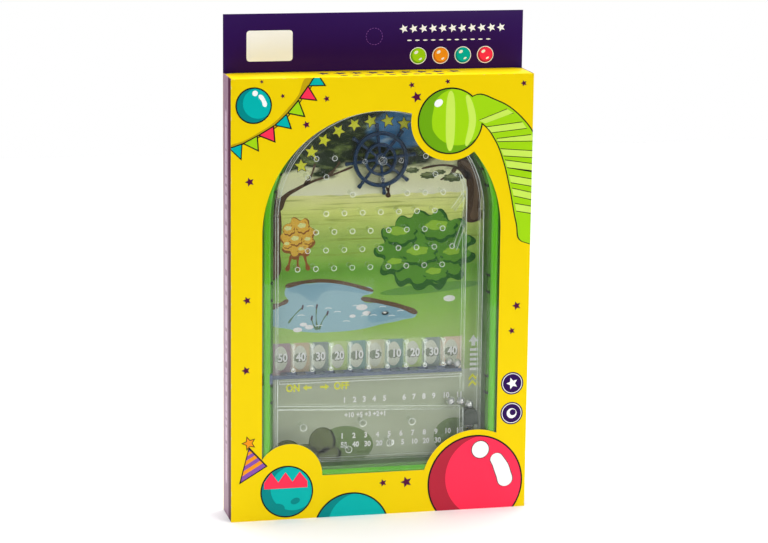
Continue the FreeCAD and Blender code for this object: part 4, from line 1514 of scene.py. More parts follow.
    def _corner_ball(self, sheet: PrintSheet) -> None:
        """The big red ball of the lower right corner."""
        centre = (68.6, 19.4)
        self._shiny_ball(sheet, centre, 34.4, (Ink.RED, Ink.DARK_RED))
        sheet.disc((72.0, 43.1), (6.6, 6.6), Ink.OUTLINE, 4)
        sheet.disc((72.0, 43.1), (6.1, 6.1), Ink.WHITE, 5)
        bean = [(82.0, 38.2, 6.0), (85.6, 33.0, 9.6), (88.8, 25.6, 10.6), (91.2, 17.0, 7.4)]
        outer = [(x, z, width + 1.0) for x, z, width in bean]
        sheet.stroke(outer, Ink.OUTLINE, 4)
        sheet.stroke(bean, Ink.WHITE, 5)

    def _streamer_ball(self, sheet: PrintSheet) -> None:
        """The striped lime ball of the upper right corner, with its ribbon."""
        x, z = 46.5, 276.5
        ribbon = [
            (60.0, 286.0, 14.0), (74.0, 282.0, 18.0), (87.0, 271.0, 23.0),
            (97.0, 254.0, 27.0), (104.0, 234.0, 30.0), (110.0, 208.0, 31.0), (114.0, 196.0, 31.0),
        ]
        sheet.stroke([(a, b, w + 1.7) for a, b, w in ribbon], Ink.OUTLINE, 1)
        sheet.stroke(ribbon, Ink.LIME, 2)
        for index in range(8):
            start = 16.0 + 11.0 * index
            for edge, ink, level in ((0.6, Ink.OUTLINE, 3), (0.0, Ink.PALE_LIME, 4)):
                stripe = []
                for offset, side in ((0.0, 1), (0.0, -1), (5.0, -1), (5.0, 1)):
                    rim = edge if offset else -edge
                    place, across, width = station(ribbon, start + offset + rim + 7.0 * side)
                    stripe.append(tuple(place + across * side * (width * 0.46)))
                sheet.patch(stripe, ink, level)
        self._shiny_ball(sheet, (x, z), 23.0, (Ink.LIME, Ink.DARK_LIME))
        for offset, width in ((-11.5, 5.0), (0.0, 6.5), (11.5, 5.0)):
            half = math.sqrt(22.0**2 - offset**2)
            bend = offset * 0.35
            sheet.stroke(
                [
                    (x + offset, z - half * 0.93, width * 0.25),
                    (x + offset + bend, z, width),
                    (x + offset, z + half * 0.93, width * 0.25),
                ],
                Ink.DARK_LIME if offset < 0 else Ink.PALE_LIME,
                4,
            )
        sheet.disc((x - 8.5, z + 12.5), (3.2, 2.4), Ink.WHITE, 5, 35.0)

    def _party_hat(self, sheet: PrintSheet) -> None:
        """The party hat, the teal balls and the zigzag of the lower left corner."""
        self._shiny_ball(sheet, (-66.0, 20.0), 18.6, (Ink.TEAL, Ink.DARK_TEAL))
        zigzag = [(-82.0, 27.0), (-77.0, 34.0), (-72.0, 27.0), (-67.0, 34.0), (-62.0, 27.0)]
        zigzag += [(-57.0, 34.0), (-51.5, 27.0), (-51.5, 22.5), (-82.0, 22.5)]
        sheet.patch(zigzag, Ink.RED, 4)
        sheet.disc((-60.0, 13.0), (3.4, 2.2), Ink.DARK_TEAL, 4, 20.0)
        sheet.disc((-71.5, 9.0), (4.2, 2.6), Ink.DARK_TEAL, 4, -15.0)
        brim = ((-99.5, 27.0), (-79.5, 39.0))
        tip = (-92.6, 53.5)
        sheet.patch([brim[0], brim[1], tip], Ink.OUTLINE, 3)
        inner = [(-98.3, 28.6), (-80.8, 39.1), (-92.5, 51.6)]
        sheet.patch(inner, Ink.LILAC, 4)
        for low, high in ((0.18, 0.34), (0.5, 0.66), (0.8, 0.92)):
            left = [Vector(inner[0]).lerp(Vector(inner[2]), s) for s in (low, high)]
            right = [Vector(inner[1]).lerp(Vector(inner[2]), s) for s in (low, high)]
            stripe = [tuple(left[0]), tuple(right[0]), tuple(right[1]), tuple(left[1])]
            sheet.patch(stripe, Ink.ORANGE, 5)
        sheet.star((-92.6, 56.0), 5.4, Ink.OUTLINE, 3)
        sheet.star((-92.6, 56.0), 4.1, Ink.ORANGE, 4)
        self._shiny_ball(sheet, (-20.0, -10.0), 27.0, (Ink.TEAL, Ink.DARK_TEAL))

    @staticmethod
    def _stars(sheet: PrintSheet) -> None:
        """The dark stars and the two round marks."""
        places = [
            (-69.7, 296.1, 1.7), (-39.7, 293.6, 2.4), (-53.5, 276.3, 2.8), (-92.2, 238.2, 3.3),
            (-94.0, 156.5, 3.0), (-94.7, 107.5, 3.2), (19.1, 301.7, 2.3), (22.6, 293.4, 4.0),
            (44.2, 303.6, 2.0), (97.9, 301.4, 2.3), (2.2, 22.6, 2.9), (18.9, 22.3, 4.2),
            (96.1, 145.5, 3.3), (93.0, 127.7, 2.6), (-84.0, 306.0, 1.4),
        ]
        for x, z, radius in places:
            sheet.star((x, z), radius, Ink.WINE, 2)
        for z in (89.9, 68.3):
            sheet.disc((94.2, z), 8.1, Ink.PURPLE, 1)
            sheet.disc((94.2, z), 7.2, Ink.WHITE, 2)
            sheet.disc((94.2, z), 6.7, Ink.PURPLE, 3)
        sheet.star((94.2, 89.9), 4.3, Ink.WHITE, 4)
        sheet.disc((94.2, 68.3), 3.6, Ink.WHITE, 4)
        sheet.disc((95.0, 69.0), 2.2, Ink.PURPLE, 5)

    def _header_print(self) -> None:
        """The blank plate, the perforated hanging hole and four small balls."""
        sheet = PrintSheet(
            "header_print",
            self.header_front,
            (-HALF_WIDTH, HALF_WIDTH, BODY_HEIGHT, self.header_top),
        )
        plate = rounded_corners(-89.0, -57.2, 315.6, 336.6, 2.2)
        sheet.patch(plate, Ink.WHITE, 1)
        for index in range(11):
            sheet.star((20.4 + 6.9 * index, 336.2), 3.1, Ink.WHITE, 1)
            sheet.disc((24.4 + 5.6 * index, 328.2), (1.6, 0.45), Ink.WHITE, 1)
        for x, inks in zip((30.7, 46.6, 62.4, 78.4), BALL_INKS):
            sheet.disc((x, 317.5), 5.9, Ink.WHITE, 1)
            sheet.disc((x, 317.5), 5.4, inks[1], 2)
            sheet.disc((x + 0.5, 317.9), 4.7, inks[0], 3)
            sheet.disc((x - 1.4, 319.8), (1.5, 1.0), Ink.WHITE, 4, 30.0)
            sheet.disc((x + 1.6, 315.2), (1.2, 0.6), Ink.WHITE, 4, 30.0)
        for index in range(18):
            turn = math.tau * index / 18
            x, z = -0.3 + 5.7 * math.cos(turn), 331.3 + 5.7 * math.sin(turn)
            sheet.disc((x, z), (0.7, 0.16), Ink.LILAC, 1, math.degrees(turn) + 90)
        sheet.finish(self.finishes.ink)


def rectangle(left: float, right: float, start: float, end: float) -> list[Point]:
    """The outline of a rectangle."""
    return [(left, start), (right, start), (right, end), (left, end)]


def rounded_corners(
    low_x: float, high_x: float, low_z: float, high_z: float, radius: float
) -> list[Point]:
    """The outline of a rectangle with rounded corners.

    Args:
        low_x: its lowest x.
        high_x: its highest x.
        low_z: its lowest z.
        high_z: its highest z.
        radius: its corners' radius.

    Returns:
        The closed outline.
    """
    middles = [
        (high_x - radius, high_z - radius, 0),
        (low_x + radius, high_z - radius, 90),
        (low_x + radius, low_z + radius, 180),
        (high_x - radius, low_z + radius, 270),
    ]
    points = []
    for x, z, start in middles:
        for step in range(7):
            turn = math.radians(start + step * 15)
            points.append((x + radius * math.cos(turn), z + radius * math.sin(turn)))
    return points


@dataclass
class Playfield(Assembly):
    """The printed card under the cover.

    Attributes:
        depth: y of its face, in millimetres.
        half_width: half of its width.
        foot: height of its lower edge.
    """

    depth: float = -0.5
    half_width: float = 74.9
    foot: float = 36.7

    def build(self) -> None:
        """Dresses the card and prints on it."""
        dress_node("playfield_card", self.finishes.card)
        limits = (-self.half_width + 0.2, self.half_width - 0.2, self.foot + 0.2, 286.5)
        sheet = PrintSheet("card_print", self.depth, limits, 0.02)
        self._pond(sheet)
        self._trees(sheet)
        self._bushes(sheet)
        self._pockets(sheet)
        self._lane_marks(sheet)
        self._scores(sheet)
        self._rocks(sheet)
        self._garland(sheet)
        sheet.finish(self.finishes.card_ink)

    @staticmethod
    def _pond(sheet: PrintSheet) -> None:
        """The pond with its banks, lilies and reeds."""
        pond = [
            (-76.0, 148.0), (-69.0, 149.0), (-63.0, 151.0), (-65.0, 157.0), (-63.6, 161.3),
            (-47.3, 163.4), (-29.7, 163.6), (-15.6, 160.1), (-2.6, 156.3), (-10.8, 151.7),
            (3.4, 147.6), (20.1, 143.3), (28.5, 139.4), (17.8, 135.1), (3.6, 132.7),
            (-10.6, 129.8), (-29.5, 128.5), (-47.1, 128.9), (-62.4, 131.9), (-76.0, 136.6),
        ]
        banks = [
            [
                (-64.5, 162.0, 1.4), (-50.8, 164.6, 2.4), (-35.6, 164.8, 2.6),
                (-20.3, 162.0, 2.4), (-2.6, 156.4, 1.0),
            ],
            [(-11.2, 151.4, 1.4), (3.4, 148.4, 2.8), (17.7, 144.4, 3.0), (28.8, 139.6, 1.6)],
            [(-76.0, 147.6, 2.2), (-68.2, 149.4, 2.4), (-62.6, 152.2, 1.4)],
        ]
        sheet.patch(pond, CardInk.WATER, 1, True)
        for bank in banks:
            sheet.stroke(bank, CardInk.BANK, 3)
        deep = [
            (-63.0, 160.4), (-47.0, 162.4), (-30.0, 162.4), (-16.0, 159.2), (-5.0, 155.6),
            (-12.0, 155.4), (-26.0, 157.6), (-38.0, 156.6), (-44.0, 150.4), (-54.0, 156.2),
        ]
        sheet.patch(deep, CardInk.DEEP_WATER, 2, True)
        reach = [
            (4.0, 146.0), (18.0, 142.4), (27.2, 139.2), (14.0, 136.6), (2.0, 134.4), (-6.0, 136.0),
        ]
        sheet.patch(reach, CardInk.DEEP_WATER, 2, True)
        for index in range(12):
            x = -56.0 + 6.4 * index
            z = 141.0 + 9.0 * math.sin(index * 2.3) * (1 - index / 16)
            ripple = [(x, z, 0.2), (x + 2.4, z + 0.5, 0.5), (x + 5.0, z, 0.2)]
            sheet.stroke(ripple, CardInk.RIPPLE, 3)
        lilies = [
            (-10.7, 145.2, 4.0), (-7.2, 140.9, 3.0), (5.9, 140.4, 2.6), (-17.2, 139.2, 2.2),
            (-51.8, 134.6, 2.6), (-47.7, 132.6, 3.0), (-55.9, 131.0, 3.2),
        ]
        for x, z, width in lilies:
            sheet.disc((x, z), (width, width * 0.52), CardInk.LILY, 2)
            sheet.disc((x - 0.3, z + 0.4), (width * 0.5, width * 0.26), CardInk.LILY_HEART, 3)
        reeds = [
            ((-41.8, 130.5), (-42.5, 147.0)), ((-40.8, 130.5), (-34.9, 142.0)),
            ((-62.4, 136.0), (-52.5, 146.8)), ((-42.6, 130.5), (-46.0, 139.0)),
        ]
        for (ax, az), (bx, bz) in reeds:
            middle = ((ax + bx) / 2 - 0.8, (az + bz) / 2)
            sheet.stroke([(ax, az, 0.7), (*middle, 0.6), (bx, bz, 0.4)], CardInk.REED, 2)
            sheet.disc((bx, bz), (0.7, 1.9), CardInk.REED_HEAD, 3, -12.0)

    @staticmethod
    def _trees(sheet: PrintSheet) -> None:
        """The two trunks with their branches, and a small tree on the horizon."""
        limbs = [
            [
                (-75.0, 168.0, 8.0), (-72.6, 190.0, 8.6), (-71.6, 208.0, 8.4),
                (-72.6, 222.0, 6.0), (-75.5, 232.0, 5.0),
            ],
            [
                (-71.0, 216.0, 5.0), (-64.5, 225.0, 3.2), (-56.9, 229.6, 2.4),
                (-45.4, 234.8, 1.8), (-31.5, 239.0, 1.4), (-18.0, 244.0, 0.7),
            ],
            [(-51.2, 231.9, 1.6), (-46.6, 239.4, 1.1), (-44.3, 247.0, 0.7)],
            [(-35.0, 238.2, 1.2), (-30.0, 243.4, 0.9), (-27.0, 248.0, 0.6)],
            [
                (66.6, 205.0, 12.6), (67.2, 214.0, 11.6), (67.6, 226.0, 10.2),
                (65.4, 238.0, 8.4), (57.0, 246.0, 4.0),
            ],
            [(64.6, 234.0, 3.0), (57.0, 240.6, 2.0), (46.0, 243.4, 1.4), (30.6, 241.4, 0.7)],
            [(55.0, 241.6, 1.6), (50.0, 236.0, 1.1), (44.0, 233.2, 0.6)],
            [(7.0, 222.6, 3.4), (7.4, 226.0, 1.4), (8.6, 231.0, 0.9), (12.6, 234.4, 0.5)],
            [(7.4, 226.0, 1.2), (5.2, 230.0, 0.8), (2.4, 233.0, 0.5)],
        ]
        for limb in limbs:
            sheet.stroke(limb, CardInk.TRUNK, 1)
        for limb in (limbs[0], limbs[4]):
            light = [(x + 1.8, z, width * 0.28) for x, z, width in limb]
            sheet.stroke(light, CardInk.TRUNK_LIGHT, 2)
        wisps = [(35.5, 236.6, 6.2), (53.0, 234.6, 7.6), (43.5, 238.6, 4.4), (24.0, 240.4, 5.0)]
        for x, z, width in wisps:
            sheet.patch(cloud((x, z), (width, width * 0.4), 9), CardInk.WISP, 2, True)
            light = cloud((x - 1.2, z + 0.7), (width * 0.6, width * 0.18), 7)
            sheet.patch(light, CardInk.WISP_LIGHT, 3, True)

    def _bushes(self, sheet: PrintSheet) -> None:
        """A round green bush, an autumn bush, a shadow and a stone."""
        sheet.disc((38.0, 157.0), (36.0, 3.4), CardInk.SHADE, 1, 4.0)
        self._bush(sheet, (34.0, 184.0), (35.0, 29.0), 13, BUSH_INKS)
        self._bush(sheet, (-56.0, 195.5), (12.5, 14.5), 9, AUTUMN_INKS)
        for x, lean in ((-62.0, -1.5), (-56.0, 0.0), (-50.0, 1.5)):
            trunk = [(x + lean, 173.0, 2.2), (x, 178.0, 1.4), (x - lean, 184.0, 0.9)]
            sheet.stroke(trunk, CardInk.AUTUMN_DARK, 1)
        sheet.disc((51.7, 149.2), (4.2, 2.2), CardInk.STONE, 2)
        sheet.disc((51.0, 149.8), (2.6, 1.0), CardInk.LILY_HEART, 3)

    @staticmethod
    def _bush(
        sheet: PrintSheet, centre: Point, radii: Point, lobes: int, inks: Sequence[CardInk]
    ) -> None:
        """A rounded bush: its shade, its leaves and its lit crowns, one on another.

        Args:
            sheet: the sheet.
            centre: its middle.
            radii: its radii.
            lobes: how many lobes its outline has.
            inks: its shade, its leaves and its light.
        """
        x, z = centre
        across, along = radii
        shade, leaves, light = inks
        sheet.patch(cloud(centre, radii, lobes), shade, 2, True)
        inner = cloud((x - across * 0.03, z + along * 0.06), (across * 0.93, along * 0.9), lobes)
        sheet.patch(inner, leaves, 3, True)
        crowns = [
            (-0.5, 0.38, 0.34), (0.28, 0.48, 0.38), (-0.1, -0.12, 0.36), (0.58, -0.14, 0.28),
            (-0.58, -0.32, 0.24), (0.22, -0.6, 0.26),
        ]
        for right, rise, size in crowns:
            middle = (x + across * right, z + along * rise)
            crown = (across * size, along * size * 0.8)
            sheet.patch(cloud(middle, crown, 7), shade, 4, True)
            raised = (middle[0] - crown[0] * 0.06, middle[1] + crown[1] * 0.14)
            sheet.patch(cloud(raised, (crown[0] * 0.94, crown[1] * 0.86), 7), leaves, 5, True)
            lit = (middle[0] - crown[0] * 0.16, middle[1] + crown[1] * 0.4)
            sheet.patch(cloud(lit, (crown[0] * 0.62, crown[1] * 0.4), 5), light, 6, True)

    @staticmethod
    def _pockets(sheet: PrintSheet) -> None:
        """The coloured fields behind the pockets, with pale ovals and their scores."""
        pitch, start = 13.29, -60.8
        colours = [
            CardInk.MAUVE, CardInk.RUST, CardInk.SLATE, CardInk.OLIVE, CardInk.DARK_TEAL,
            CardInk.TAN, CardInk.DARK_TEAL, CardInk.OLIVE, CardInk.SLATE, CardInk.SALMON,
        ]
        scores = ["50", "40", "30", "20", "10", "5", "10", "20", "30", "40"]
        centres = [-66.4, -53.6, -39.8, -26.4, -12.8, 0.6, 14.2, 27.6, 41.0, 54.4]
        for index, (colour, score, x) in enumerate(zip(colours, scores, centres)):
            left = -74.6 if index == 0 else start + pitch * (index - 1) + 0.2
            right = 61.2 if index == 9 else start + pitch * index - 0.2
            sheet.patch(rectangle(left, right, 98.2, 121.8), colour, 1)
            middle = (left + right) / 2
            sheet.disc((middle, 111.2), (5.0, 8.6), CardInk.OVAL, 2)
            sheet.patch(cloud((middle, 111.2), (5.0, 3.4), 11), CardInk.BAND, 3)
            sheet.text(score, (x + 0.4, 111.0), 8.0, CardInk.OUTLINE, 4, 0.84)
            sheet.text(score, (x + 0.2, 111.3), 8.0, CardInk.NUMBER, 5, 0.84)

    @staticmethod
    def _lane_marks(sheet: PrintSheet) -> None:
        """The arrow with its bars beside the lane, and the slider's two arrows."""
        sheet.patch([(69.6, 122.4), (66.2, 117.4), (73.0, 117.4)], CardInk.NUMBER, 2)
        sheet.patch(rectangle(68.2, 71.0, 117.4, 114.4), CardInk.NUMBER, 2)
        for index in range(5):
            z = 112.6 - 3.5 * index
            sheet.patch(rectangle(67.3, 71.9, z, z - 1.9), CardInk.NUMBER, 2)
        for z in (94.6, 90.0):
            chevron = [(69.5, z), (66.7, z - 3.4), (66.7, z - 5.4), (69.5, z - 2.4)]
            chevron += [(72.3, z - 5.4), (72.3, z - 3.4)]
            sheet.patch(chevron, CardInk.ARROW, 2)
        sheet.text("ON", (-59.0, 89.4), 7.2, CardInk.ARROW, 2, 0.86)
        sheet.text("OFF", (-24.6, 89.7), 7.2, CardInk.ARROW, 2, 0.86)
        for tip, tail in ((-52.0, -45.6), (-33.4, -39.8)):
            way = 1 if tail > tip else -1
            neck = tip + way * 2.8
            head = [(tip, 89.6), (neck, 91.8), (neck, 90.4), (tail, 90.4)]
            head += [(tail, 88.8), (neck, 88.8), (neck, 87.4)]
            sheet.patch(head, CardInk.ARROW, 2)

    @staticmethod
    def _scores(sheet: PrintSheet) -> None:
        """The plain numbers of the score table."""
        rows = [
            (79.3, 5.4, [("1", -22.4), ("2", -15.2), ("3", -8.3), ("4", -1.2), ("5", 6.2)]),
            (79.4, 5.4, [("6", 20.3), ("7", 27.3), ("8", 34.5), ("9", 41.6)]),
            (79.4, 5.4, [("10", 50.4), ("11", 60.1)]),
            (68.4, 4.8, [("+10", -19.0), ("+5", -11.6), ("+3", -5.6), ("+2", 0.2), ("+1", 5.2)]),
            (53.4, 5.2, [(str(n + 1), -23.9 + 8.44 * n) for n in range(11)]),
        ]
        tens = ["50", "40", "30", "20", "10", "5", "10", "20", "30"]
        rows.append((47.0, 5.2, [(word, -22.6 + 8.44 * n) for n, word in enumerate(tens)]))
        for z, size, words in rows:
            for word, x in words:
                sheet.text(word, (x, z), size, CardInk.NUMBER, 3, 0.9)

    @staticmethod
    def _rocks(sheet: PrintSheet) -> None:
        """Soft grey boulders and hollows behind the score table."""
        sheet.disc((-20.0, 48.0), (18.5, 12.5), CardInk.HOLLOW, 1, -10.0)
        sheet.disc((56.0, 50.0), (14.0, 13.0), CardInk.HOLLOW, 1, 8.0)
        rocks = [
            (-63.0, 44.0, 9.0, 8.0), (-50.0, 42.0, 10.0, 6.5), (-38.0, 50.0, 9.0, 10.0),
            (-33.0, 41.0, 8.0, 5.0),
        ]
        for x, z, across, along in rocks:
            sheet.disc((x, z), (across + 0.6, along + 0.6), CardInk.DARK_ROCK, 1)
            sheet.disc((x - 0.6, z + 0.8), (across - 0.6, along - 0.8), CardInk.ROCK, 2)

    def _garland(self, sheet: PrintSheet) -> None:
        """A row of yellow stars along the arch."""
        for index in range(11):
            turn = math.radians(148 - index * 10.6)
            radius = 63.5
            place = (radius * math.cos(turn), ARCH_HEIGHT + radius * math.sin(turn))
            tilt = math.degrees(turn) - 90 + UPRIGHT
            sheet.star(place, 5.6, CardInk.OUTLINE, 2, tilt)
            sheet.star(place, 4.6, CardInk.SUN_YELLOW, 3, tilt)


@dataclass
class Cover(Assembly):
    """The clear cover moulding with its walls, pins, bosses and pocket dividers.

    Attributes:
        back: y of the cover plate's back face, where the posts start.
        reach: y of the posts' free ends.
        pin_radius: a pin's radius.
        pin_core: radius of a pin's bore.
        pitch: distance of the pins across and up.
        first_pin: x and z of the grid's first pin.
        boss_radius: a boss's radius.
        boss_core: radius of a boss's bore.
        divider_pitch: distance of the dividers.
        first_divider: x of the first divider.
        divider_span: heights of a divider's ends.
        half_web: half of a divider's thickness.
        bulb: radius of a divider's bulb.
        rail_low: lowest x and z of the rail below the release bar.
        rail_high: its highest x and z.
        rail_depth: how far it stands out from the cover plate.
        sides: how many sides a round post has.
    """

    back: float = -11.4
    reach: float = -0.7
    pin_radius: float = 1.7
    pin_core: float = 0.85
    pitch: float = 12.7
    first_pin: Point = (-58.2, 175.8)
    boss_radius: float = 2.3
    boss_core: float = 1.2
    divider_pitch: float = 13.29
    first_divider: float = -60.8
    divider_span: Point = (103.66, 123.34)
    half_web: float = 0.5
    bulb: float = 1.3
    rail_low: Point = (-70.6, 95.4)
    rail_high: Point = (58.8, 97.5)
    rail_depth: float = 1.4
    sides: int = 24

    PIN_ROWS = (
        tuple(range(9)),
        tuple(n + 0.55 for n in range(9)),
        tuple(range(1, 9)),
        tuple(n + 0.55 for n in range(1, 8)),
        (3, 6, 7, 8),
        (0.55, 1.55, 7.55),
        (1, 2, 7),
    )
    BOSS_SHARES = (
        (-0.73, 0.2), (-0.3, 0.2), (0.11, 0.3), (0.33, 0.74), (-0.16, 0.76), (-0.75, 0.72),
    )

    def build(self) -> None:
        """Builds and dresses the cover."""
        clear = self.finishes.posts
        self._moulded(["cover_plate"], "cover_sheet", 0.3, None, self.finishes.cover)
        self._moulded(["cover_snaps"], "cover_clips", 0.2, None, clear)
        walls = [
            "left_wall", "right_wall", "arch_wall", "lower_wall", "lane_wall",
            "lane_deflectors", "plunger_channel_wall", "slider_ledges", "return_trough",
        ]
        self._moulded(walls, "guide_walls", 0.3, self.reach - 0.6, clear)
        self._pins()
        self._bosses()
        self._dividers()
        self._rail()
        stand = ["wheel_axle", "wheel_stub_posts"]
        self._moulded(stand, "wheel_posts", 0.12, self.back, clear)

    def _moulded(
        self,
        nodes: list[str],
        name: str,
        rounding: float,
        highlight_from: float | None,
        material: Material,
    ) -> None:
        """A clear part with rounded edges, those behind a depth painted as white glowing
        highlights.

        Args:
            nodes: the CAD nodes.
            name: the piece's name.
            rounding: the rounding of its edges, in millimetres.
            highlight_from: y behind which its edges carry the painted highlight, if any do.
            material: its material.
        """
        shape = merged_copy(nodes, rounding, highlight_from)
        place_piece(shape, name, material, nodes, highlight_trim=self.finishes.edges)

    def _posts_with_painted_highlights(self, shape: Shape, name: str, nodes: list[str]) -> None:
        """Makes a group of clear posts, whose ends carry painted highlights, a piece.

        Args:
            shape: the posts' mesh, in metres.
            name: the piece's name.
            nodes: the CAD nodes.
        """
        clear, lit = self.finishes.posts, self.finishes.edges
        place_piece(shape, name, clear, nodes, angle=50.0, highlight_trim=lit)

    def _post(self, centre: Point, radius: float, core: float) -> Shape:
        """A round post with a bore and rounded ends, which carry painted highlight rings.

        Args:
            centre: its x and z.
            radius: its radius.
            core: its bore's radius.

        Returns:
            The mesh, in metres.
        """
        length = self.reach - self.back
        soft, flare, foot = 0.25, 0.15, 0.6
        outline = [
            (core, 0.0), (radius - flare, 0.0), (radius + flare, 0.0), (radius, foot),
            (radius, length - soft),
            (radius - soft * 0.3, length - soft * 0.3), (radius - soft, length),
            (core + soft * 0.5, length), (core, length - soft * 0.5),
        ]
        shape = turned(outline, self.sides, closed=True)
        # Outer faces at both ends take the second material: painted highlight rings of white
        # glowing plastic.
        for face in shape.faces:
            middle = face.calc_center_median()
            outer = middle.xy.length > radius * 0.85
            face.material_index = int(outer and not 0.35 <= middle.z <= length - 0.3)
        place = metre_place(centre[0], self.back, centre[1])
        return set_in(shape, place @ Matrix.Rotation(math.radians(-90), 4, "X"))

    def _pins(self) -> None:
        """The field of pins."""
        field = bmesh.new()
        for row, columns in enumerate(self.PIN_ROWS):
            for column in columns:
                x, z = (first + self.pitch * n for first, n in zip(self.first_pin, (column, row)))
                add_shape(field, self._post((x, z), self.pin_radius, self.pin_core))
        self._posts_with_painted_highlights(field, "pin_field", ["playfield_pins"])

    def _bosses(self) -> None:
        """The bosses of the lower compartment."""
        group = bmesh.new()
        half_width, foot, height = 71.4, 40, 33.1
        for across, along in self.BOSS_SHARES:
            place = (half_width * across, foot + along * height)
            add_shape(group, self._post(place, self.boss_radius, self.boss_core))
        self._posts_with_painted_highlights(group, "lower_bosses", ["cover_bosses"])

    def _dividers(self) -> None:
        """The pocket dividers, each a web between two round bulbs."""
        group = bmesh.new()
        nodes = [f"pocket_divider_{index}" for index in range(1, 10)]
        low, high = self.divider_span[0] + self.bulb, self.divider_span[1] - self.bulb
        for index in range(len(nodes)):
            x = self.first_divider + self.divider_pitch * index
            left, right = x - self.half_web, x + self.half_web
            web = rounded_block((left, self.back, low), (right, self.reach, high), 0.17)
            add_shape(group, set_in(web, TO_METRES))
            for z in (low, high):
                add_shape(group, self._post((x, z), self.bulb, self.half_web))
        self._posts_with_painted_highlights(group, "pocket_dividers", nodes)

    def _rail(self) -> None:
        """The shallow clear rail inside the cover, just below the release bar."""
        (left, foot), (right, top) = self.rail_low, self.rail_high
        low, high = (left, self.back, foot), (right, self.back + self.rail_depth, top)
        rail = set_in(rounded_block(low, high, 0.14), TO_METRES)
        # Its rounded edges take the painted edge highlight.
        clear, lit = self.finishes.posts, self.finishes.edges
        place_piece(rail, "slider_rail", clear, highlight_trim=lit)


@dataclass
class SpinnerWheel(Assembly):
    """The wheel with two rings, eight spokes and eight grips.

    Attributes:
        centre: its x and z, in millimetres.
        depth: y of its middle.
        half_thickness: half of its thickness.
        rim_radius: middle radius of its rim.
        rim_width: width of its rim.
        ring_radius: middle radius of its inner ring.
        ring_width: width of its inner ring.
        hub_radius: its hub's radius.
        bore: its hub's bore.
        reach: radius of its grips' ends.
        spokes: how many spokes.
        turn: the first spoke's turn, in degrees.
    """

    centre: Point = (0.9, 249.2)
    depth: float = -3.0
    half_thickness: float = 1.6
    rim_radius: float = 18.0
    rim_width: float = 2.6
    ring_radius: float = 10.4
    ring_width: float = 2.0
    hub_radius: float = 4.2
    bore: float = 2.0
    reach: float = 25.0
    spokes: int = 8
    turn: float = 7.0

    def build(self) -> None:
        """Builds and dresses the wheel."""
        wheel = bmesh.new()
        rings = ((self.rim_radius, self.rim_width), (self.ring_radius, self.ring_width))
        for radius, width in rings:
            add_shape(wheel, self._ring(radius - width / 2, radius + width / 2))
        add_shape(wheel, self._ring(self.bore, self.hub_radius))
        for index in range(self.spokes):
            add_shape(wheel, self._spoke(self.turn + 360 / self.spokes * index))
        set_in(wheel, metre_place(self.centre[0], self.depth, self.centre[1]) @ FRONT_TURN)
        navy, nodes = self.finishes.navy, ["spinner_wheel"]
        place_piece(wheel, "ship_wheel", navy, nodes, Body.WHEEL, 45.0)

    def _ring(self, inner: float, outer: float) -> Shape:
        """A ring of rounded section.

        Args:
            inner: its inner radius.
            outer: its outer radius.

        Returns:
            The mesh, in millimetres.
        """
        half, soft = self.half_thickness, 0.5
        outline = [
            (inner + soft, -half), (outer - soft, -half), (outer - soft * 0.3, -half + soft * 0.3),
            (outer, -half + soft), (outer, half - soft), (outer - soft * 0.3, half - soft * 0.3),
            (outer - soft, half), (inner + soft, half), (inner + soft * 0.3, half - soft * 0.3),
            (inner, half - soft), (inner, -half + soft), (inner + soft * 0.3, -half + soft * 0.3),
        ]
        return turned(outline, 80, closed=True)

    def _spoke(self, turn: float) -> Shape:
        """A turned spoke that ends in a grip.

        Args:
            turn: its direction, in degrees.

        Returns:
            The mesh, in millimetres.
        """
        outline = [
            (0.0, 3.2), (0.95, 3.2), (0.95, 11.0), (1.15, 14.5), (0.95, 17.0), (0.95, 19.6),
            (1.45, 20.2), (1.0, 20.9), (1.3, 22.6), (1.5, 24.0), (1.3, 24.7), (0.7, self.reach),
            (0.0, self.reach),
        ]
        shape = turned(outline, 16)
        lay = Matrix.Rotation(math.radians(90), 4, "Y")
        return set_in(shape, Matrix.Rotation(math.radians(turn), 4, "Z") @ lay)


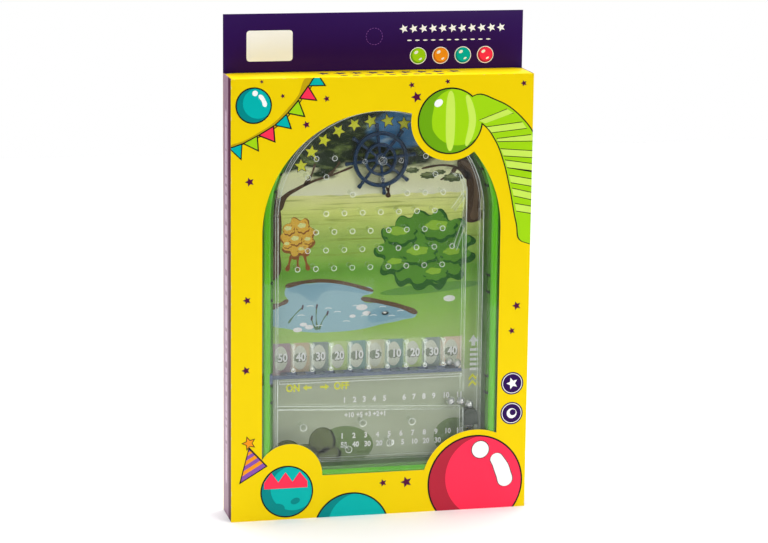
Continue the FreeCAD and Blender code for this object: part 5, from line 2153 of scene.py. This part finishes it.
@dataclass
class Mechanism(Assembly):
    """The release bar, the plunger with its spring, and the steel balls.

    Attributes:
        spring_centre: x and y of the spring, in millimetres.
        spring_span: heights of its ends.
        coil_radius: its coil's middle radius.
        wire_radius: its wire's radius.
        coils: how many turns it has.
        ball_radius: a ball's radius.
        stroke: how far the plunger is pulled; not used.
    """

    spring_centre: Point = (66.0, -5.95)
    spring_span: Point = (40.3, 59.7)
    coil_radius: float = 3.25
    wire_radius: float = 0.36
    coils: int = 8
    ball_radius: float = 2.95
    stroke: float = 14.0

    def build(self) -> None:
        """Builds and dresses the moving parts."""
        slate, dark, soft = self.finishes.slate, self.finishes.dark, 0.2
        nodes = ["release_slider"]
        slider = merged_copy(nodes, soft)
        place_piece(slider, "release_bar", slate, nodes, Body.SLIDER)
        nodes = ["plunger_rod", "plunger_knob"]
        plunger = merged_copy(nodes, soft)
        place_piece(plunger, "plunger_bar", dark, nodes, Body.PLUNGER)
        self._spring()
        balls = (
            Body.LANE_BALL, Body.TROUGH_BALL_1, Body.TROUGH_BALL_2, Body.POCKET_BALL_1,
            Body.POCKET_BALL_2,
        )
        for ball in balls:
            self._ball(ball)

    def _spring(self) -> None:
        """The plunger's coil spring, with a closed coil at each end."""
        shape = bmesh.new()
        low, high = self.spring_span
        place = Matrix.Translation((self.coil_radius, 0, 0)) @ Matrix.Rotation(math.pi / 2, 4, "X")
        bmesh.ops.create_circle(shape, radius=self.wire_radius, segments=10, matrix=place)
        length = high - low - 2 * self.wire_radius
        steps, closed = 22, 0.75
        runs = [(1.0, closed), (self.coils - 2.0, length - 2 * closed), (1.0, closed)]
        section = shape.verts[:] + shape.edges[:]
        for turns, rise in runs:
            count = round(turns * steps)
            made = bmesh.ops.spin(
                shape, geom=section, cent=(0, 0, 0), axis=(0, 0, 1), dvec=(0, 0, rise / count),
                angle=math.tau * turns, steps=count, use_merge=False,
            )
            section = made["geom_last"]
        ends = [edge for edge in shape.edges if edge.is_boundary]
        bmesh.ops.holes_fill(shape, edges=ends, sides=0)
        bmesh.ops.recalc_face_normals(shape, faces=shape.faces)
        x, y = self.spring_centre
        set_in(shape, metre_place(x, y, low + self.wire_radius))
        steel, nodes = self.finishes.spring, ["plunger_spring"]
        spring = place_piece(shape, "coil_spring", steel, nodes, Body.PLUNGER)
        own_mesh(spring)

    def _ball(self, ball: Body) -> None:
        """A steel ball with its two small polishing flats.

        Args:
            ball: the ball's body, which has the name of its only node.
        """
        node = ball.value
        low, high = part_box(node)
        centre = (low + high) / 2
        radius, flat, rings = self.ball_radius, 0.35, 22
        lift = math.sqrt(radius**2 - flat**2)
        first = math.acos(lift / radius)
        outline = [(0.0, lift)]
        for ring in range(rings + 1):
            turn = first + (math.pi - 2 * first) * ring / rings
            outline.append((radius * math.sin(turn), radius * math.cos(turn)))
        outline.append((0.0, -lift))
        shape = turned(outline, 40)
        tip = Matrix.Rotation(math.radians(38), 4, (1, 0.4, 0.2))
        set_in(shape, Matrix.Translation(centre) @ TO_METRES @ tip)
        place_piece(shape, f"{node}_steel", self.finishes.ball, [node], ball, 60.0)


@dataclass
class Tray(Assembly):
    """The green base tray with the rounded bead along its rim. The tray's green is darkened as
    painted shade, and the bead's green is lightened as painted highlight.

    Attributes:
        bead_side: x of the bead's middle line.
        bead_foot: height of its lower run.
        bead_corner: radius of its lower corners.
        bead_depth: y of its middle.
        bead_half_width: half of its width.
        bead_half_rise: half of its rise.
    """

    bead_side: float = 79.8
    bead_foot: float = 31.6
    bead_corner: float = 10.0
    bead_depth: float = -14.05
    bead_half_width: float = 2.4
    bead_half_rise: float = 1.05

    def _bead(self) -> None:
        """The bead, as an oval tube half sunk into the rim, in a lighter green that is a painted
        highlight.
        """
        low = rounded_corners(
            -self.bead_side, self.bead_side, self.bead_foot, ARCH_HEIGHT, self.bead_corner
        )
        path = [point for point in low if point[1] < ARCH_HEIGHT / 2]
        steps = 48
        for step in range(steps + 1):
            turn = math.pi * step / steps
            across, rise = self.bead_side * math.cos(turn), self.bead_side * math.sin(turn)
            path.append((across, ARCH_HEIGHT + rise))
        curve = bpy.data.curves.new("bead_line", "CURVE")
        curve.dimensions = "3D"
        curve.bevel_depth = self.bead_half_width
        curve.bevel_resolution = 4
        curve.resolution_u = 1
        spline = curve.splines.new("POLY")
        spline.points.add(len(path) - 1)
        for knot, (across, along) in zip(spline.points, path):
            knot.co = (across, along, 0, 1)
        spline.use_cyclic_u = True
        shape = _flat_mesh(curve)
        flatten = Matrix.Diagonal((1, 1, self.bead_half_rise / self.bead_half_width, 1))
        set_in(shape, front_place(self.bead_depth) @ flatten)
        bmesh.ops.recalc_face_normals(shape, faces=shape.faces)
        place_piece(shape, "tray_bead", self.finishes.bead, angle=60.0)

    def build(self) -> None:
        """Builds and dresses the tray."""
        self._bead()
        # The tray's darker green, with its painted gap shadows, is painted shade.
        green, nodes = self.finishes.green, ["base_tray"]
        place_piece(merged_copy(nodes), "green_tray_painted_shade", green, nodes, angle=38.0)


@dataclass
class Studio:
    """The pale floor, the soft lights and the camera.

    Attributes:
        camera_place: the camera, in millimetres.
        azimuth: the camera's turn about the object, in degrees.
        elevation: its height angle, in degrees.
        roll: its roll, in degrees.
        lens: its focal length, for a sensor 36 mm wide.
        floor_edge: the floor's front edge, as the window mirrors it, in metres.
    """

    camera_place: Place = (-404.0, -1767.0, 556.0)
    azimuth: float = -13.03
    elevation: float = 12.02
    roll: float = 0.65
    lens: float = 125.67
    floor_edge: tuple[Point, ...] = (
        (-3.0, -0.77), (0.061, -0.77), (0.087, -0.694), (0.136, -0.773), (0.167, -0.771),
        (0.106, -0.552), (0.211, -0.507), (0.243, -0.645), (3.0, -0.7),
    )

    def build(self) -> None:
        """Builds the studio."""
        self._camera()
        self._floor()
        self._world()
        self._lamp("key_light", (1.3, -2.0, 1.5), 1.2, 28.5)
        self._lamp("fill_light", (-1.0, -2.2, 1.2), 1.4, 8.0)
        self._lamp("top_light", (0.1, 0.3, 2.2), 2.0, 55.0)
        bpy.context.scene.view_settings.view_transform = "Standard"
        bpy.context.scene.cycles.transparent_max_bounces = 24

    def _camera(self) -> None:
        """The camera, as the photograph's."""
        turn, rise, roll = map(math.radians, (self.azimuth, self.elevation, self.roll))
        back = Vector(
            (math.sin(turn) * math.cos(rise), -math.cos(turn) * math.cos(rise), math.sin(rise))
        )
        right = (-back).cross(Vector((0, 0, 1))).normalized()
        up = right.cross(-back)
        level = Matrix((right, up, back)).transposed()
        lens = bpy.data.cameras.new("photo_camera")
        lens.lens = self.lens
        lens.sensor_width = 36
        lens.clip_start = 0.05
        lens.clip_end = 50
        camera = linked("photo_camera", lens)
        aim = (level @ Matrix.Rotation(roll, 3, "Z")).to_4x4()
        camera.matrix_world = Matrix.Translation(Vector(self.camera_place) * MM) @ aim
        bpy.context.scene.camera = camera

    def _floor(self) -> None:
        """The pale floor."""
        shape = bmesh.new()
        corners = [*self.floor_edge, (3.0, 1.5), (-3.0, 1.5)]
        shape.faces.new([shape.verts.new((x, y, 0)) for x, y in corners])
        mesh = stored(shape, "pale_floor")
        shader = Shader("pale_floor", roughness=0.85)
        cloud = shader.noise(0.004, 2.0)
        tone = shader.ramp(cloud, [(0.3, grey(0.9)), (0.7, grey(0.93))])
        shader.feed("Base Color", tone)
        mesh.materials.append(shader.material)
        linked("pale_floor", mesh)

    @staticmethod
    def _world() -> None:
        """A white room behind the object, grey in front of it and nearly black below the floor."""
        world = bpy.data.worlds.new("studio_room")
        bpy.context.scene.world = world
        world.use_nodes = True
        bench = NodeBench(world.node_tree)
        direction = bench.make("SeparateXYZ", {}, {0: bench.wire("TexCoord", {}, {})})
        across, height = Wire(bench, direction.outputs[1]), Wire(bench, direction.outputs[2])
        room = bench.mix(bench.step(across, -0.4, 0.4), grey(0.22), grey(0.8))
        room = bench.mix(bench.step(height, -0.06, -0.02), grey(0.02), room)
        seen = bench.wire("LightPath", {}, {})
        light = bench.make("Background", {}, {0: bench.mix(seen, room, grey(1.0))})
        out = bench.make("OutputWorld")
        bench.tree.links.new(light.outputs[0], out.inputs[0])

    @staticmethod
    def _lamp(name: str, place: Place, size: float, power: float) -> None:
        """A soft square light that points at the object.

        Args:
            name: its name.
            place: where it is, in metres.
            size: its side, in metres.
            power: its power, in watts.
        """
        lamp = bpy.data.lights.new(name, "AREA")
        lamp.size = size
        lamp.energy = power
        way = Vector((0, 0, 0.15)) - Vector(place)
        aim = way.to_track_quat("-Z", "Y").to_matrix().to_4x4()
        linked(name, lamp).matrix_world = Matrix.Translation(place) @ aim


def main() -> None:
    """Builds the studio and every sub-assembly, in order."""
    logging.basicConfig(level=logging.INFO, format="%(message)s")
    Studio().build()
    finishes = Finishes()
    for assembly in (Carton, Tray, Playfield, Cover, SpinnerWheel, Mechanism):
        assembly(finishes).build()
        LOG.info("%s is built", assembly.__name__)


if __name__ == "__main__":
    main()
